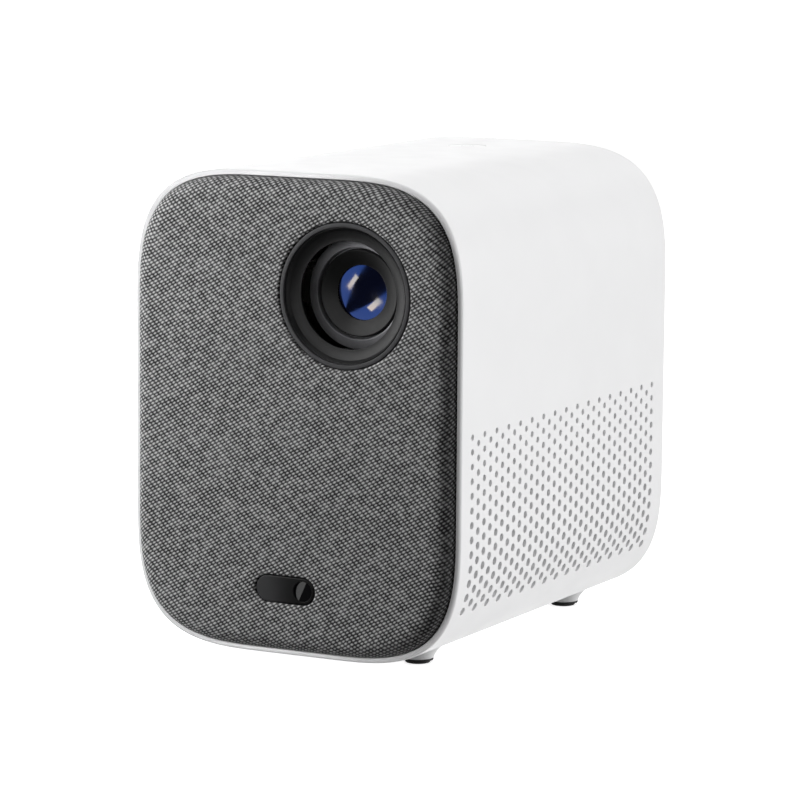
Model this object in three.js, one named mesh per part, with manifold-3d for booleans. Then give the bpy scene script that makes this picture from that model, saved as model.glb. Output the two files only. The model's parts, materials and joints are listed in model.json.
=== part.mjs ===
// Compact home projector, in millimetres. +Z is up and the front faces -Y.
// The origin is on the surface that the foot pads rest on, in the middle of the footprint.
import * as THREE from "three";
import { mergeVertices } from "three/addons/utils/BufferGeometryUtils.js";
import Module from "manifold-3d";

const wasm = await Module();
wasm.setup();

// Driving dimensions
const BODY_WIDTH = 115;
const BODY_DEPTH = 150;
const BODY_HEIGHT = 151;
const CORNER_SIZE = 46;
const CORNER_POWER = 3.25;

// Sides of a round piece, by how large it is
const LARGE = 26;
const MEDIUM = 14;
const SMALL = 8;

const CORNER_STEPS = 8;
const WALL = 2.4;
const GAP = 0.3;
const FOOT_HEIGHT = 4.5;
const CLOTH_RISE = 4.5;
const CLOTH_EDGE = 5;
const CLOTH_SKIN = 0.9;
const RIM_ROUND = 1.5;
const REAR_ROUND = 1;

const RIM_Y = CLOTH_RISE - (BODY_DEPTH + CLOTH_RISE) / 2;
const REAR_Y = RIM_Y + BODY_DEPTH;
const CLOTH_Y = RIM_Y - CLOTH_RISE;
const BOTTOM_Z = FOOT_HEIGHT;
const TOP_Z = BOTTOM_Z + BODY_HEIGHT;
const MIDDLE_Z = BOTTOM_Z + BODY_HEIGHT / 2;

// Lens axis, parallel to Y
const LENS_X = 19.2;
const LENS_Z = BOTTOM_Z + 114.3;
const BEZEL_R = 22.5;
const BARREL_R = 17.4;
const TUBE_R = 15.8;
const BARREL_FRONT_Y = RIM_Y + 4.6;
const MOUNT_BACK_Y = -28;

// Focus gears
const GEAR_MODULE = 1;
const RING_TEETH = 44;
const PINION_TEETH = 12;
const GEAR_FRONT_Y = -52;
const GEAR_BACK_Y = -46;
const GEAR_BACKLASH = 0.1;
const MOTOR_FRONT_Y = -44.5;
const MOTOR_BACK_Y = -30.4;
const PINION_X = -(((RING_TEETH + PINION_TEETH) * GEAR_MODULE) / 2 + GEAR_BACKLASH);

// Autofocus window
const WINDOW_X = -1.1;
const WINDOW_Z = BOTTOM_Z + 21.5;
const WINDOW_HALF = 10.3;
const WINDOW_R = 4.15;
const CAMERA_X = WINDOW_X + WINDOW_HALF - WINDOW_R;

// Feet, tripod insert and power button
const FOOT_X = 27.5;
const FOOT_YS = { front: -42.5, rear: 63.5 };
const PAD_R = 5;
const INSERT_R = 6;
const INSERT_HOLE_R = 3.2;
const BUTTON_Y = 43;
const BUTTON_R = 6;

// Rear cover and sockets
const COVER_FRONT_Y = 73.6;
const COVER_BACK_Y = 76.4;
const BAY_HALF = 38;
const BAY_BOTTOM_Z = 17;
const BAY_TOP_Z = 33;
const PANEL_Y = 66;
const PANEL_SKIN = 1.6;
const BOARD_Z = 17;
const BOARD_TOP_Z = BOARD_Z + 1.6;
const SOCKET_Z = BOARD_TOP_Z + GAP;
const SOCKET_BACK_Y = PANEL_Y + PANEL_SKIN + 1;
const SCREW_X = 50.5;
const SCREW_ZS = { lower: 50, upper: 128 };

// Speakers, fan and heat sink
const SPEAKER_X = 26.5;
const SPEAKER_Z = 65;
const FAN_POSITION = new THREE.Vector3(-44.5, 28, 60);
const FAN_SIZE = 60;
const FAN_DEPTH = 15;
const FAN_HOLE_R = 28.3;
const FAN_HUB_R = 14;
const FAN_BLADES = 7;

// Optical engine housing
const ENGINE = { x0: -34, x1: 42, y0: -27.7, y1: 8, z0: 98, z1: 138 };
const ENGINE_WALL = 2.2;
const BLUE_X = -19;
const RED_X = -3;

const finish = (color, roughness, metalness = 0) =>
  new THREE.MeshStandardMaterial({ color, roughness, metalness });

// ---------------------------------------------------------------- solids

/** A closed geometry as a solid whose faces point out. */
function solid(geometry) {
  const bare = new THREE.BufferGeometry();
  bare.setAttribute("position", geometry.getAttribute("position").clone());
  if (geometry.index) bare.setIndex(geometry.index.clone());
  const merged = mergeVertices(bare, 1e-4);
  const at = merged.attributes.position;
  const index = merged.index.array;
  const [a, b, c] = [new THREE.Vector3(), new THREE.Vector3(), new THREE.Vector3()];
  const faces = [];
  let volume = 0;
  for (let i = 0; i < index.length; i += 3) {
    const corners = [index[i], index[i + 1], index[i + 2]];
    if (new Set(corners).size < 3) continue;
    faces.push(corners);
    a.fromBufferAttribute(at, corners[0]);
    b.fromBufferAttribute(at, corners[1]);
    c.fromBufferAttribute(at, corners[2]);
    volume += a.dot(b.cross(c));
  }
  const outward = volume < 0 ? faces.map(([p, q, r]) => [p, r, q]) : faces;
  const triVerts = new Uint32Array(outward.flat());
  const mesh = new wasm.Mesh({ numProp: 3, vertProperties: at.array, triVerts });
  return new wasm.Manifold(mesh);
}

const join = (first, ...rest) => rest.reduce((made, next) => made.add(next), first);
const cut = (first, ...rest) => rest.reduce((made, next) => made.subtract(next), first);

/** Box between two corners. */
function bar(x0, x1, y0, y1, z0, z1) {
  const box = new THREE.BoxGeometry(x1 - x0, y1 - y0, z1 - z0);
  return solid(box.translate((x0 + x1) / 2, (y0 + y1) / 2, (z0 + z1) / 2));
}

/** A shape drawn in X and Z, extruded from y0 to y1. */
function slabY(shape, y0, y1, curveSegments = 2) {
  const made = new THREE.ExtrudeGeometry(shape, { depth: y1 - y0, bevelEnabled: false, curveSegments });
  return solid(made.rotateX(Math.PI / 2).translate(0, y1, 0));
}

/** A shape drawn in Y and Z, extruded from x0 to x1. */
function slabX(shape, x0, x1, curveSegments = 8) {
  const made = new THREE.ExtrudeGeometry(shape, { depth: x1 - x0, bevelEnabled: false, curveSegments });
  const turn = new THREE.Matrix4().makeBasis(
    new THREE.Vector3(0, 1, 0),
    new THREE.Vector3(0, 0, 1),
    new THREE.Vector3(1, 0, 0),
  );
  return solid(made.applyMatrix4(turn).translate(x0, 0, 0));
}

/** Solid of revolution about Y, from a profile of [radius, y] points. */
function turnedY(profile, segments = MEDIUM) {
  const points = profile.map(([r, y]) => new THREE.Vector2(r, y));
  if (profile[0][0] > 0) points.push(points[0].clone());
  return solid(new THREE.LatheGeometry(points, segments));
}

/** Solid of revolution about Z, from a profile of [radius, z] points. */
function turnedZ(profile, segments = MEDIUM) {
  const points = profile.map(([r, z]) => new THREE.Vector2(r, z));
  if (profile[0][0] > 0) points.push(points[0].clone());
  return solid(new THREE.LatheGeometry(points, segments).rotateX(Math.PI / 2));
}

/** Round rod along Y. */
const rodY = (r, y0, y1, x = 0, z = 0, segments = MEDIUM) =>
  turnedY([[0, y0], [r, y0], [r, y1], [0, y1]], segments).translate([x, 0, z]);

/** Round rod along Z. */
const rodZ = (r, z0, z1, x = 0, y = 0, segments = MEDIUM) =>
  turnedZ([[0, z0], [r, z0], [r, z1], [0, z1]], segments).translate([x, y, 0]);

/** Rectangle with round corners. */
function roundedShape(u0, u1, v0, v1, radius) {
  const shape = new THREE.Shape();
  shape.absarc(u1 - radius, v1 - radius, radius, 0, Math.PI / 2);
  shape.absarc(u0 + radius, v1 - radius, radius, Math.PI / 2, Math.PI);
  shape.absarc(u0 + radius, v0 + radius, radius, Math.PI, 1.5 * Math.PI);
  shape.absarc(u1 - radius, v0 + radius, radius, 1.5 * Math.PI, 2 * Math.PI);
  return shape;
}

const pillShape = (grow) => {
  const half = WINDOW_HALF + grow;
  const radius = WINDOW_R + grow;
  return roundedShape(WINDOW_X - half, WINDOW_X + half, WINDOW_Z - radius, WINDOW_Z + radius, radius);
};

/** Section of the body, pulled in by inset: straight sides joined by superellipse corners. */
function bodyOutline(inset) {
  const size = CORNER_SIZE - inset;
  const halfWidth = BODY_WIDTH / 2 - inset;
  const halfHeight = BODY_HEIGHT / 2 - inset;
  const points = [];
  for (const [signX, signZ] of [[1, 1], [-1, 1], [-1, -1], [1, -1]]) {
    for (let step = 0; step <= CORNER_STEPS; step++) {
      const share = signX * signZ > 0 ? step / CORNER_STEPS : 1 - step / CORNER_STEPS;
      const angle = (share * Math.PI) / 2;
      const along = 1 - Math.max(Math.cos(angle), 0) ** (2 / CORNER_POWER);
      const up = 1 - Math.sin(angle) ** (2 / CORNER_POWER);
      points.push([signX * (halfWidth - size * along), MIDDLE_Z + signZ * (halfHeight - size * up)]);
    }
  }
  return points;
}

/** Solid whose sections along Y are body outlines, one for each [y, inset]. A tube closes on itself. */
function bodyLoft(sections, tube = false) {
  const rings = sections.map(([y, inset]) => bodyOutline(inset).map(([x, z]) => [x, y, z]));
  const count = rings[0].length;
  const index = [];
  for (let ring = 0; ring < (tube ? rings.length : rings.length - 1); ring++) {
    const next = (ring + 1) % rings.length;
    for (let k = 0; k < count; k++) {
      const [a, b] = [ring * count + k, ring * count + ((k + 1) % count)];
      const [c, d] = [next * count + k, next * count + ((k + 1) % count)];
      index.push(a, b, d, a, d, c);
    }
  }
  if (!tube) {
    const flat = bodyOutline(0).map(([x, z]) => new THREE.Vector2(x, z));
    const last = (rings.length - 1) * count;
    for (const [p, q, r] of THREE.ShapeUtils.triangulateShape(flat, [])) {
      index.push(p, r, q);
      index.push(last + p, last + q, last + r);
    }
  }
  const geometry = new THREE.BufferGeometry();
  geometry.setAttribute("position", new THREE.Float32BufferAttribute(rings.flat(2), 3));
  geometry.setIndex(index);
  return solid(geometry);
}

/** Named mesh of a solid. */
function part(name, made, material, position = [0, 0, 0]) {
  const { vertProperties, numProp, triVerts } = made.getMesh();
  const geometry = new THREE.BufferGeometry();
  const positions = Array.from({ length: vertProperties.length / numProp }, (_, i) =>
    Array.from(vertProperties.slice(i * numProp, i * numProp + 3)),
  );
  geometry.setAttribute("position", new THREE.Float32BufferAttribute(positions.flat(), 3));
  geometry.setIndex(new THREE.BufferAttribute(new Uint32Array(triVerts), 1));
  geometry.computeVertexNormals();
  const mesh = new THREE.Mesh(geometry, material);
  mesh.name = name;
  mesh.position.set(...position);
  return mesh;
}

const projector = new THREE.Group();

// ---------------------------------------------------------------- shell

/** Front edge round as [y, inset] pairs, from the side wall to the rim's face. */
const frontRound = [
  [RIM_Y + RIM_ROUND, 0],
  [RIM_Y + RIM_ROUND * 0.3, RIM_ROUND * 0.3],
  [RIM_Y, RIM_ROUND],
];

function outerShell() {
  const sleeve = bodyLoft(
    [
      ...frontRound,
      [RIM_Y + 0.4, WALL],
      [REAR_Y, WALL],
      [REAR_Y, REAR_ROUND],
      [REAR_Y - REAR_ROUND * 0.3, REAR_ROUND * 0.3],
      [REAR_Y - REAR_ROUND, 0],
    ],
    true,
  );
  const inside = bodyLoft([[RIM_Y + 5, WALL / 2], [COVER_FRONT_Y - GAP, WALL / 2]]);
  const postRadius = 5.2;
  const postLength = 14;
  const posts = [];
  const bores = [rodZ(BUTTON_R + GAP, TOP_Z - 2 * WALL, TOP_Z + 1, 0, BUTTON_Y)];
  for (const side of [-1, 1]) {
    for (const z of Object.values(SCREW_ZS)) {
      const front = COVER_FRONT_Y - GAP - postLength;
      posts.push(rodY(postRadius, front, COVER_FRONT_Y - GAP, side * SCREW_X, z, SMALL).intersect(inside));
      bores.push(rodY(1.4, front - 1, COVER_FRONT_Y, side * SCREW_X, z, SMALL));
    }
    for (const y of Object.values(FOOT_YS)) bores.push(rodZ(3.3, 0, BOTTOM_Z + 4, side * FOOT_X, y, SMALL));
  }
  const boss = rodZ(INSERT_R + 2.6, BOTTOM_Z + WALL / 2, BOTTOM_Z + 8, 0, 0);
  bores.push(rodZ(INSERT_R + GAP, 0, BOTTOM_Z + 9, 0, 0));
  return cut(join(sleeve, ...posts, boss), ...bores);
}

// ---------------------------------------------------------------- front

/** Cushion-shaped block behind the front plane: the cloth's outside, pulled in by depth all round. */
function frontBlock(depth, backY) {
  const edge = WALL + GAP + depth;
  const round = CLOTH_EDGE - depth;
  const rise = CLOTH_RISE - depth;
  const steps = 3;
  const sections = [[backY, edge]];
  for (let step = 0; step <= steps; step++) {
    const angle = (step / steps) * (Math.PI / 2);
    sections.push([RIM_Y - rise * Math.sin(angle), edge + round * (1 - Math.cos(angle))]);
  }
  return bodyLoft(sections);
}

const lensHole = (r) => rodY(r, CLOTH_Y - 5, RIM_Y + 10, LENS_X, LENS_Z, LARGE);
const windowHole = (grow) => slabY(pillShape(grow), CLOTH_Y - 5, RIM_Y + 10);

function grilleCloth() {
  const outside = frontBlock(0, RIM_Y + 1);
  const inside = frontBlock(CLOTH_SKIN, RIM_Y + 2);
  return cut(outside, inside, lensHole(BEZEL_R + GAP), windowHole(GAP));
}

function grilleFrame() {
  const block = frontBlock(CLOTH_SKIN + GAP, RIM_Y + 2.25);
  const ports = [-1, 1].map((side) => rodY(19.5, CLOTH_Y, RIM_Y + 5, side * SPEAKER_X, SPEAKER_Z));
  return cut(block, lensHole(BEZEL_R + GAP), windowHole(GAP), ...ports);
}

/** Rounded lip, dished hood inside it, and the sleeve behind that the barrel stands in. */
function lensBezel() {
  const lipY = RIM_Y - 4.3;
  const sleeveBackY = RIM_Y + 3.75;
  return turnedY(
    [
      [22.2, lipY],
      [BEZEL_R, lipY + 0.3],
      [BEZEL_R, sleeveBackY],
      [18.9, sleeveBackY],
      [18.9, RIM_Y - 0.2],
      [16.65, RIM_Y - 0.9],
      [16.65, RIM_Y - 1.2],
      [18.2, RIM_Y - 1.5],
      [19.6, RIM_Y - 2.2],
      [20.6, RIM_Y - 3.1],
      [21, RIM_Y - 4],
      [21.2, lipY],
    ],
    LARGE,
  );
}

function sensorWindow() {
  const frontY = CLOTH_Y + 0.3;
  const backY = frontY + 1.6;
  const pill = slabY(pillShape(0), frontY, backY);
  const cone = turnedY([[0, frontY - 1], [3.6, frontY - 1], [1.9, backY + 1], [0, backY + 1]]);
  return cut(pill, cone.translate([CAMERA_X, 0, WINDOW_Z]));
}

function autofocusCamera() {
  const frontY = CLOTH_Y + 2.2;
  const barrel = turnedY(
    [
      [0, frontY + 1],
      [1, frontY + 0.6],
      [1.6, frontY],
      [2.4, frontY],
      [2.4, frontY + 3.4],
      [0, frontY + 3.4],
    ],
    MEDIUM,
  );
  return join(barrel, bar(-3, 2.7, frontY + 3, frontY + 4.2, -3, 3));
}

projector.add(
  part("outer_shell", outerShell(), finish(0xededee, 0.32)),
  part("grille_fabric", grilleCloth(), finish(0x5c5c5e, 0.95)),
  part("grille_frame", grilleFrame(), finish(0x1c1c1e, 0.7)),
  part("lens_bezel", lensBezel(), finish(0x17171a, 0.45), [LENS_X, 0, LENS_Z]),
  part("sensor_window", sensorWindow(), finish(0x0b0b0d, 0.08)),
  part("autofocus_camera", autofocusCamera(), finish(0x101014, 0.3), [CAMERA_X, 0, WINDOW_Z]),
);

// ---------------------------------------------------------------- rear

function rearCover() {
  const inset = WALL + GAP;
  const edge = 0.4;
  const plate = bodyLoft([
    [COVER_FRONT_Y, inset],
    [COVER_BACK_Y - edge, inset],
    [COVER_BACK_Y, inset + edge],
  ]);
  const cuts = [
    slabY(roundedShape(-BAY_HALF, BAY_HALF, BAY_BOTTOM_Z, BAY_TOP_Z, 3), COVER_FRONT_Y - 1, REAR_Y),
    rodY(3.3, COVER_FRONT_Y - 1, REAR_Y, 0, 55),
  ];
  const slotRows = 10;
  const slotPitch = 7;
  const slotHeight = 3;
  const firstSlotZ = 70;
  for (let row = 0; row < slotRows; row++) {
    const z = firstSlotZ + row * slotPitch;
    for (const [x0, x1] of [[-42, -2], [2, 42]]) {
      cuts.push(bar(x0, x1, COVER_FRONT_Y - 1, REAR_Y, z, z + slotHeight));
    }
  }
  for (const side of [-1, 1]) {
    for (const z of Object.values(SCREW_ZS)) {
      cuts.push(rodY(1.5, COVER_FRONT_Y - 1, REAR_Y, side * SCREW_X, z, SMALL));
      cuts.push(rodY(2.9, COVER_BACK_Y - 1.4, REAR_Y, side * SCREW_X, z, SMALL));
    }
  }
  return cut(plate, ...cuts);
}

const coverScrew = () =>
  turnedY(
    [
      [0, COVER_BACK_Y - 14],
      [1.1, COVER_BACK_Y - 14],
      [1.1, COVER_BACK_Y - 1.1],
      [2.5, COVER_BACK_Y - 1.1],
      [2.5, COVER_BACK_Y - 0.4],
      [1.1, COVER_BACK_Y - 0.2],
      [0, COVER_BACK_Y - 0.7],
    ],
    SMALL,
  );

/** Outer bodies of the sockets, drawn in X and Z with the board under them. */
const sockets = {
  dc: { x: 28, half: 4.6, height: 11 },
  hdmi: { x: 9, half: 7.6, height: 5.8 },
  usb: { x: -11, half: 7.2, height: 7 },
  audio: { x: -28, half: 3.6, height: 7 },
};

const socketShape = ({ half, height }, grow) =>
  roundedShape(-half - grow, half + grow, SOCKET_Z - grow, SOCKET_Z + height + grow, 0.6);

/** Tray behind the rear cover's opening, with a hole for each socket in its floor. */
function portPanel() {
  const outside = roundedShape(
    -BAY_HALF - PANEL_SKIN,
    BAY_HALF + PANEL_SKIN,
    BAY_BOTTOM_Z - PANEL_SKIN,
    BAY_TOP_Z + PANEL_SKIN,
    4.6,
  );
  const inside = roundedShape(-BAY_HALF, BAY_HALF, BAY_BOTTOM_Z, BAY_TOP_Z, 3);
  const tray = cut(
    slabY(outside, PANEL_Y, COVER_FRONT_Y - GAP),
    slabY(inside, PANEL_Y + PANEL_SKIN, REAR_Y),
  );
  const holes = Object.values(sockets).map((socket) =>
    slabY(socketShape(socket, GAP), PANEL_Y - 1, PANEL_Y + 3, 1).translate([socket.x, 0, 0]),
  );
  return cut(tray, ...holes);
}

/** Square-bodied socket with an opening cut into its rear face. */
const socket = (size, length, opening) =>
  cut(slabY(socketShape(size, 0), SOCKET_BACK_Y - length, SOCKET_BACK_Y, 1), ...opening);

function hdmiSocket() {
  const half = 7;
  const mouth = new THREE.Shape([
    new THREE.Vector2(-half, SOCKET_Z + 2),
    new THREE.Vector2(-half + 1.4, SOCKET_Z + 0.6),
    new THREE.Vector2(half - 1.4, SOCKET_Z + 0.6),
    new THREE.Vector2(half, SOCKET_Z + 2),
    new THREE.Vector2(half, SOCKET_Z + 5.2),
    new THREE.Vector2(-half, SOCKET_Z + 5.2),
  ]);
  return socket(sockets.hdmi, 12, [slabY(mouth, SOCKET_BACK_Y - 10, SOCKET_BACK_Y + 1)]);
}

const usbSocket = () =>
  socket(sockets.usb, 15, [
    bar(-6.6, 6.6, SOCKET_BACK_Y - 13, SOCKET_BACK_Y + 1, SOCKET_Z + 0.65, SOCKET_Z + 6.35),
  ]);

const audioSocket = () =>
  socket(sockets.audio, 13, [rodY(1.8, SOCKET_BACK_Y - 11, SOCKET_BACK_Y + 1, 0, SOCKET_Z + 3.5)]);

function dcInlet() {
  const middle = SOCKET_Z + sockets.dc.height / 2;
  const hole = rodY(3.1, SOCKET_BACK_Y - 10, SOCKET_BACK_Y + 1, 0, middle);
  const pin = rodY(1, SOCKET_BACK_Y - 11, SOCKET_BACK_Y - 1, 0, middle, SMALL);
  return join(socket(sockets.dc, 14, [hole]), pin);
}

projector.add(
  part("rear_cover", rearCover(), finish(0x3a3a3d, 0.6)),
  part("port_panel", portPanel(), finish(0x2a2a2c, 0.6)),
  part("dc_inlet", dcInlet(), finish(0x161618, 0.5), [sockets.dc.x, 0, 0]),
  part("hdmi_socket", hdmiSocket(), finish(0xb8babd, 0.3, 1), [sockets.hdmi.x, 0, 0]),
  part("usb_socket", usbSocket(), finish(0xb8babd, 0.3, 1), [sockets.usb.x, 0, 0]),
  part("audio_socket", audioSocket(), finish(0x161618, 0.5), [sockets.audio.x, 0, 0]),
  part("infrared_window", rodY(3, COVER_FRONT_Y - 3, COVER_BACK_Y - 0.2, 0, 55), finish(0x1a0a10, 0.1)),
);
for (const [side, x] of [["left", -SCREW_X], ["right", SCREW_X]]) {
  for (const [level, z] of Object.entries(SCREW_ZS)) {
    projector.add(part(`cover_screw_${level}_${side}`, coverScrew(), finish(0x202022, 0.35, 1), [x, 0, z]));
  }
}

// ---------------------------------------------------------------- feet, insert and button

/** White flared foot that follows the curved underside, with a spigot through the shell. */
function footBase(x, y) {
  const flare = turnedZ(
    [
      [0, 1.8],
      [5.2, 1.8],
      [5.5, 2.7],
      [6.1, 3.7],
      [7, 4.8],
      [8.2, 6],
      [9, 6.9],
      [9, 8],
      [0, 8],
    ],
    MEDIUM,
  ).translate([x, y, 0]);
  const underside = bodyLoft([[RIM_Y, -GAP], [REAR_Y, -GAP]]);
  return join(cut(flare, underside), rodZ(2.9, 3, BOTTOM_Z + 4.5, x, y, SMALL));
}

const footPad = () =>
  turnedZ([[0, 0], [3.9, 0], [4.2, 0.3], [4.2, 0.8], [PAD_R, 1], [PAD_R, 1.5], [0, 1.5]]);

for (const [side, x] of [["left", -FOOT_X], ["right", FOOT_X]]) {
  for (const [end, y] of Object.entries(FOOT_YS)) {
    projector.add(part(`foot_${end}_${side}`, footBase(x, y), finish(0xededee, 0.35)));
    projector.add(part(`foot_pad_${end}_${side}`, footPad(), finish(0x121214, 0.9), [x, y, 0]));
  }
}

const tripodInsert = () =>
  turnedZ(
    [
      [0, BOTTOM_Z + 7.5],
      [INSERT_HOLE_R, BOTTOM_Z + 7.5],
      [INSERT_HOLE_R, BOTTOM_Z + 0.6],
      [INSERT_HOLE_R + 0.6, BOTTOM_Z],
      [INSERT_R, BOTTOM_Z],
      [INSERT_R, BOTTOM_Z + 8.5],
      [0, BOTTOM_Z + 8.5],
    ],
    MEDIUM,
  );

/** Cap that sits flush in the shell's top, its flange under the shell and its stem over the switch. */
const powerButton = () =>
  turnedZ(
    [
      [0, 147.9],
      [1.5, 147.9],
      [1.5, 151.4],
      [7.2, 151.4],
      [7.2, 152.6],
      [BUTTON_R, 152.6],
      [BUTTON_R, TOP_Z - 0.5],
      [BUTTON_R - 0.3, TOP_Z - 0.2],
      [0, TOP_Z - 0.2],
    ],
    MEDIUM,
  );

const buttonSwitch = () =>
  join(
    bar(-9, 9, -7, 7, 142, 143.6),
    bar(-3, 3, -3, 3, 143.5, 146.4),
    rodZ(1.6, 146.3, 147.1, 0, 0, SMALL),
  );

projector.add(
  part("tripod_insert", tripodInsert(), finish(0xc8a860, 0.35, 1)),
  part("power_button", powerButton(), finish(0xf0f0f1, 0.35), [0, BUTTON_Y, 0]),
  part("button_switch", buttonSwitch(), finish(0x245038, 0.5), [0, BUTTON_Y, 0]),
);

// ---------------------------------------------------------------- optics, about the lens axis

const optics = new THREE.Group();
optics.position.set(LENS_X, 0, LENS_Z);
projector.add(optics);

/** Sliding barrel: broad stepped nose with a seat for the front lens, and a plain tube behind it. */
function lensBarrel() {
  const nose = BARREL_FRONT_Y;
  return turnedY(
    [
      [16.9, nose],
      [BARREL_R, nose + 0.5],
      [BARREL_R, nose + 9.6],
      [TUBE_R, nose + 9.6],
      [TUBE_R, -34],
      [12.4, -34],
      [12.4, nose + 7],
      [9.6, nose + 7],
      [9.6, nose + 3.2],
      [8.5, nose + 3],
      [8.5, nose + 2.8],
      [13.3, nose + 0.7],
      [13.4, nose + 1.4],
      [13.7, nose + 1.4],
      [13.7, nose + 0.9],
    ],
    LARGE,
  );
}

/** Lens with a spherical face on each end of a short edge; sag is how far each face stands out. */
function lensSolid(radius, edgeFrontY, edgeBackY, frontSag, backSag, steps) {
  const faceR = (sag) => (radius * radius + sag * sag) / (2 * sag);
  const face = (sag, edgeY, sign) =>
    Array.from({ length: steps }, (_, step) => {
      const r = (radius * step) / steps;
      const drop = faceR(sag) - Math.sqrt(faceR(sag) ** 2 - r * r);
      return [r, edgeY + sign * (sag - drop)];
    });
  const front = face(frontSag, edgeFrontY, -1);
  const back = face(backSag, edgeBackY, 1).reverse();
  return turnedY([...front, [radius, edgeFrontY], [radius, edgeBackY], ...back]);
}

/** Fixed tube that the barrel slides in and the ring gear turns on, with its flange on the housing. */
function lensMount() {
  const [boreR, tubeR, flangeR] = [16.2, 18.2, 22];
  const [frontY, flangeY] = [-56, -31];
  return turnedY(
    [
      [boreR, frontY],
      [tubeR, frontY],
      [tubeR, flangeY],
      [flangeR, flangeY],
      [flangeR, MOUNT_BACK_Y],
      [boreR, MOUNT_BACK_Y],
    ],
    LARGE,
  );
}

/** Spur gear outline with straight-sided teeth; a bore of 0 leaves it solid. */
function gearShape(teeth, boreR, turn) {
  const pitchR = (teeth * GEAR_MODULE) / 2;
  const rootR = pitchR - 1.15 * GEAR_MODULE;
  const tipR = pitchR + 0.9 * GEAR_MODULE;
  const pitchAngle = (2 * Math.PI) / teeth;
  const rootShare = 0.3;
  const tipShare = 0.12;
  const points = [];
  for (let tooth = 0; tooth < teeth; tooth++) {
    const middle = (tooth + turn) * pitchAngle;
    for (const [radius, share] of [
      [rootR, -rootShare],
      [tipR, -tipShare],
      [tipR, tipShare],
      [rootR, rootShare],
    ]) {
      const angle = middle + share * pitchAngle;
      points.push(new THREE.Vector2(radius * Math.cos(angle), radius * Math.sin(angle)));
    }
  }
  const shape = new THREE.Shape(points);
  if (boreR > 0) shape.holes.push(new THREE.Path().absarc(0, 0, boreR, 0, 2 * Math.PI, true));
  return shape;
}

function focusPinion() {
  const teeth = slabY(gearShape(PINION_TEETH, 0, 0.5), GEAR_FRONT_Y, GEAR_BACK_Y);
  const shoulder = rodY(2.4, GEAR_BACK_Y - 0.2, MOTOR_FRONT_Y - 0.4, 0, 0, SMALL);
  return join(teeth, shoulder);
}

const focusRingGear = () =>
  slabY(gearShape(RING_TEETH, 18.6, 0), GEAR_FRONT_Y, GEAR_BACK_Y, LARGE / 2);

/** Round motor with a crosswise plate at its back for two screws. */
function focusMotor() {
  const can = rodY(6, MOTOR_FRONT_Y, MOTOR_BACK_Y);
  const plate = bar(-4, 4, MOTOR_BACK_Y - 2.6, MOTOR_BACK_Y, -10, 10);
  return join(can, plate);
}

const frontLens = () => lensSolid(9.2, BARREL_FRONT_Y + 3.5, BARREL_FRONT_Y + 6, 1.85, 1, 4);
const rearLens = () => lensSolid(12, -43, -41, 2, 2, 3);

optics.add(
  part("lens_barrel", lensBarrel(), finish(0x1d1d20, 0.4)),
  part("front_lens", frontLens(), finish(0x14182c, 0.03)),
  part("rear_lens", rearLens(), finish(0x30384a, 0.03)),
  part("lens_mount", lensMount(), finish(0x2a2b2e, 0.5)),
  part("focus_ring_gear", focusRingGear(), finish(0xd8d8d2, 0.5)),
  part("focus_pinion", focusPinion(), finish(0xd8d8d2, 0.5), [PINION_X, 0, 0]),
  part("focus_motor", focusMotor(), finish(0x9c9ea2, 0.35, 1), [PINION_X, 0, 0]),
);

// ---------------------------------------------------------------- optical engine

function engineHousing() {
  const { x0, x1, y0, y1, z0, z1 } = ENGINE;
  const wall = ENGINE_WALL;
  const tray = cut(
    bar(x0, x1, y0, y1, z0, z1),
    bar(x0 + wall, x1 - wall, y0 + wall, y1 - wall, z0 + wall, z1 + 1),
  );
  return cut(
    tray,
    rodY(12, y0 - 1, y0 + wall + 1, LENS_X, LENS_Z),
    bar(LENS_X - 8, LENS_X + 8, y1 - wall - 1, y1 + 1, LENS_Z - 6.5, LENS_Z + 6.5),
    rodY(5, y1 - wall - 1, y1 + 1, BLUE_X, LENS_Z),
    rodY(5, y1 - wall - 1, y1 + 1, RED_X, LENS_Z),
    rodY(5, -wall - 1, wall + 1).rotate([0, 0, 90]).translate([x0, -10, LENS_Z]),
  );
}

function engineCover() {
  const { x0, x1, y0, y1, z1 } = ENGINE;
  const plate = bar(x0, x1, y0, y1, z1 + GAP, z1 + GAP + 2);
  const ribs = [-20, 0, 20].map((x) => bar(x + 3, x + 5, y0 + 3, y1 - 3, z1 + 2, z1 + 4));
  return join(plate, ...ribs);
}

/** Square board with a copper block behind it and a round emitter in front, facing -Y. */
function lightModule() {
  const board = bar(-6.5, 6.5, 0, 4, -7.5, 7.5);
  const emitter = turnedY([[0, -3], [2.5, -2.4], [4.2, 0.5], [0, 0.5]], 12);
  return join(board, emitter);
}

const dichroicPlate = () => bar(-7.5, 7.5, -0.5, 0.5, -8.5, 8.5);

const PRISM_SIDE = 16;
const PRISM_BACK_Y = -4;
const prismShape = new THREE.Shape([
  new THREE.Vector2(PRISM_SIDE / 2, PRISM_BACK_Y - PRISM_SIDE),
  new THREE.Vector2(PRISM_SIDE / 2, PRISM_BACK_Y),
  new THREE.Vector2(-PRISM_SIDE / 2, PRISM_BACK_Y),
]);
const prism = solid(new THREE.ExtrudeGeometry(prismShape, { depth: PRISM_SIDE, bevelEnabled: false }));
const pictureChip = bar(-7, 7, ENGINE.y1 - 3, ENGINE.y1, -5.5, 5.5);

const boardBehind = ENGINE.y1 + GAP;
const dmdBoard = join(
  bar(-11.5, 11.5, boardBehind, boardBehind + 1.6, -13, 12),
  bar(-6, 6, boardBehind + 1.5, boardBehind + 2.3, -9, -5),
);

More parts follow.
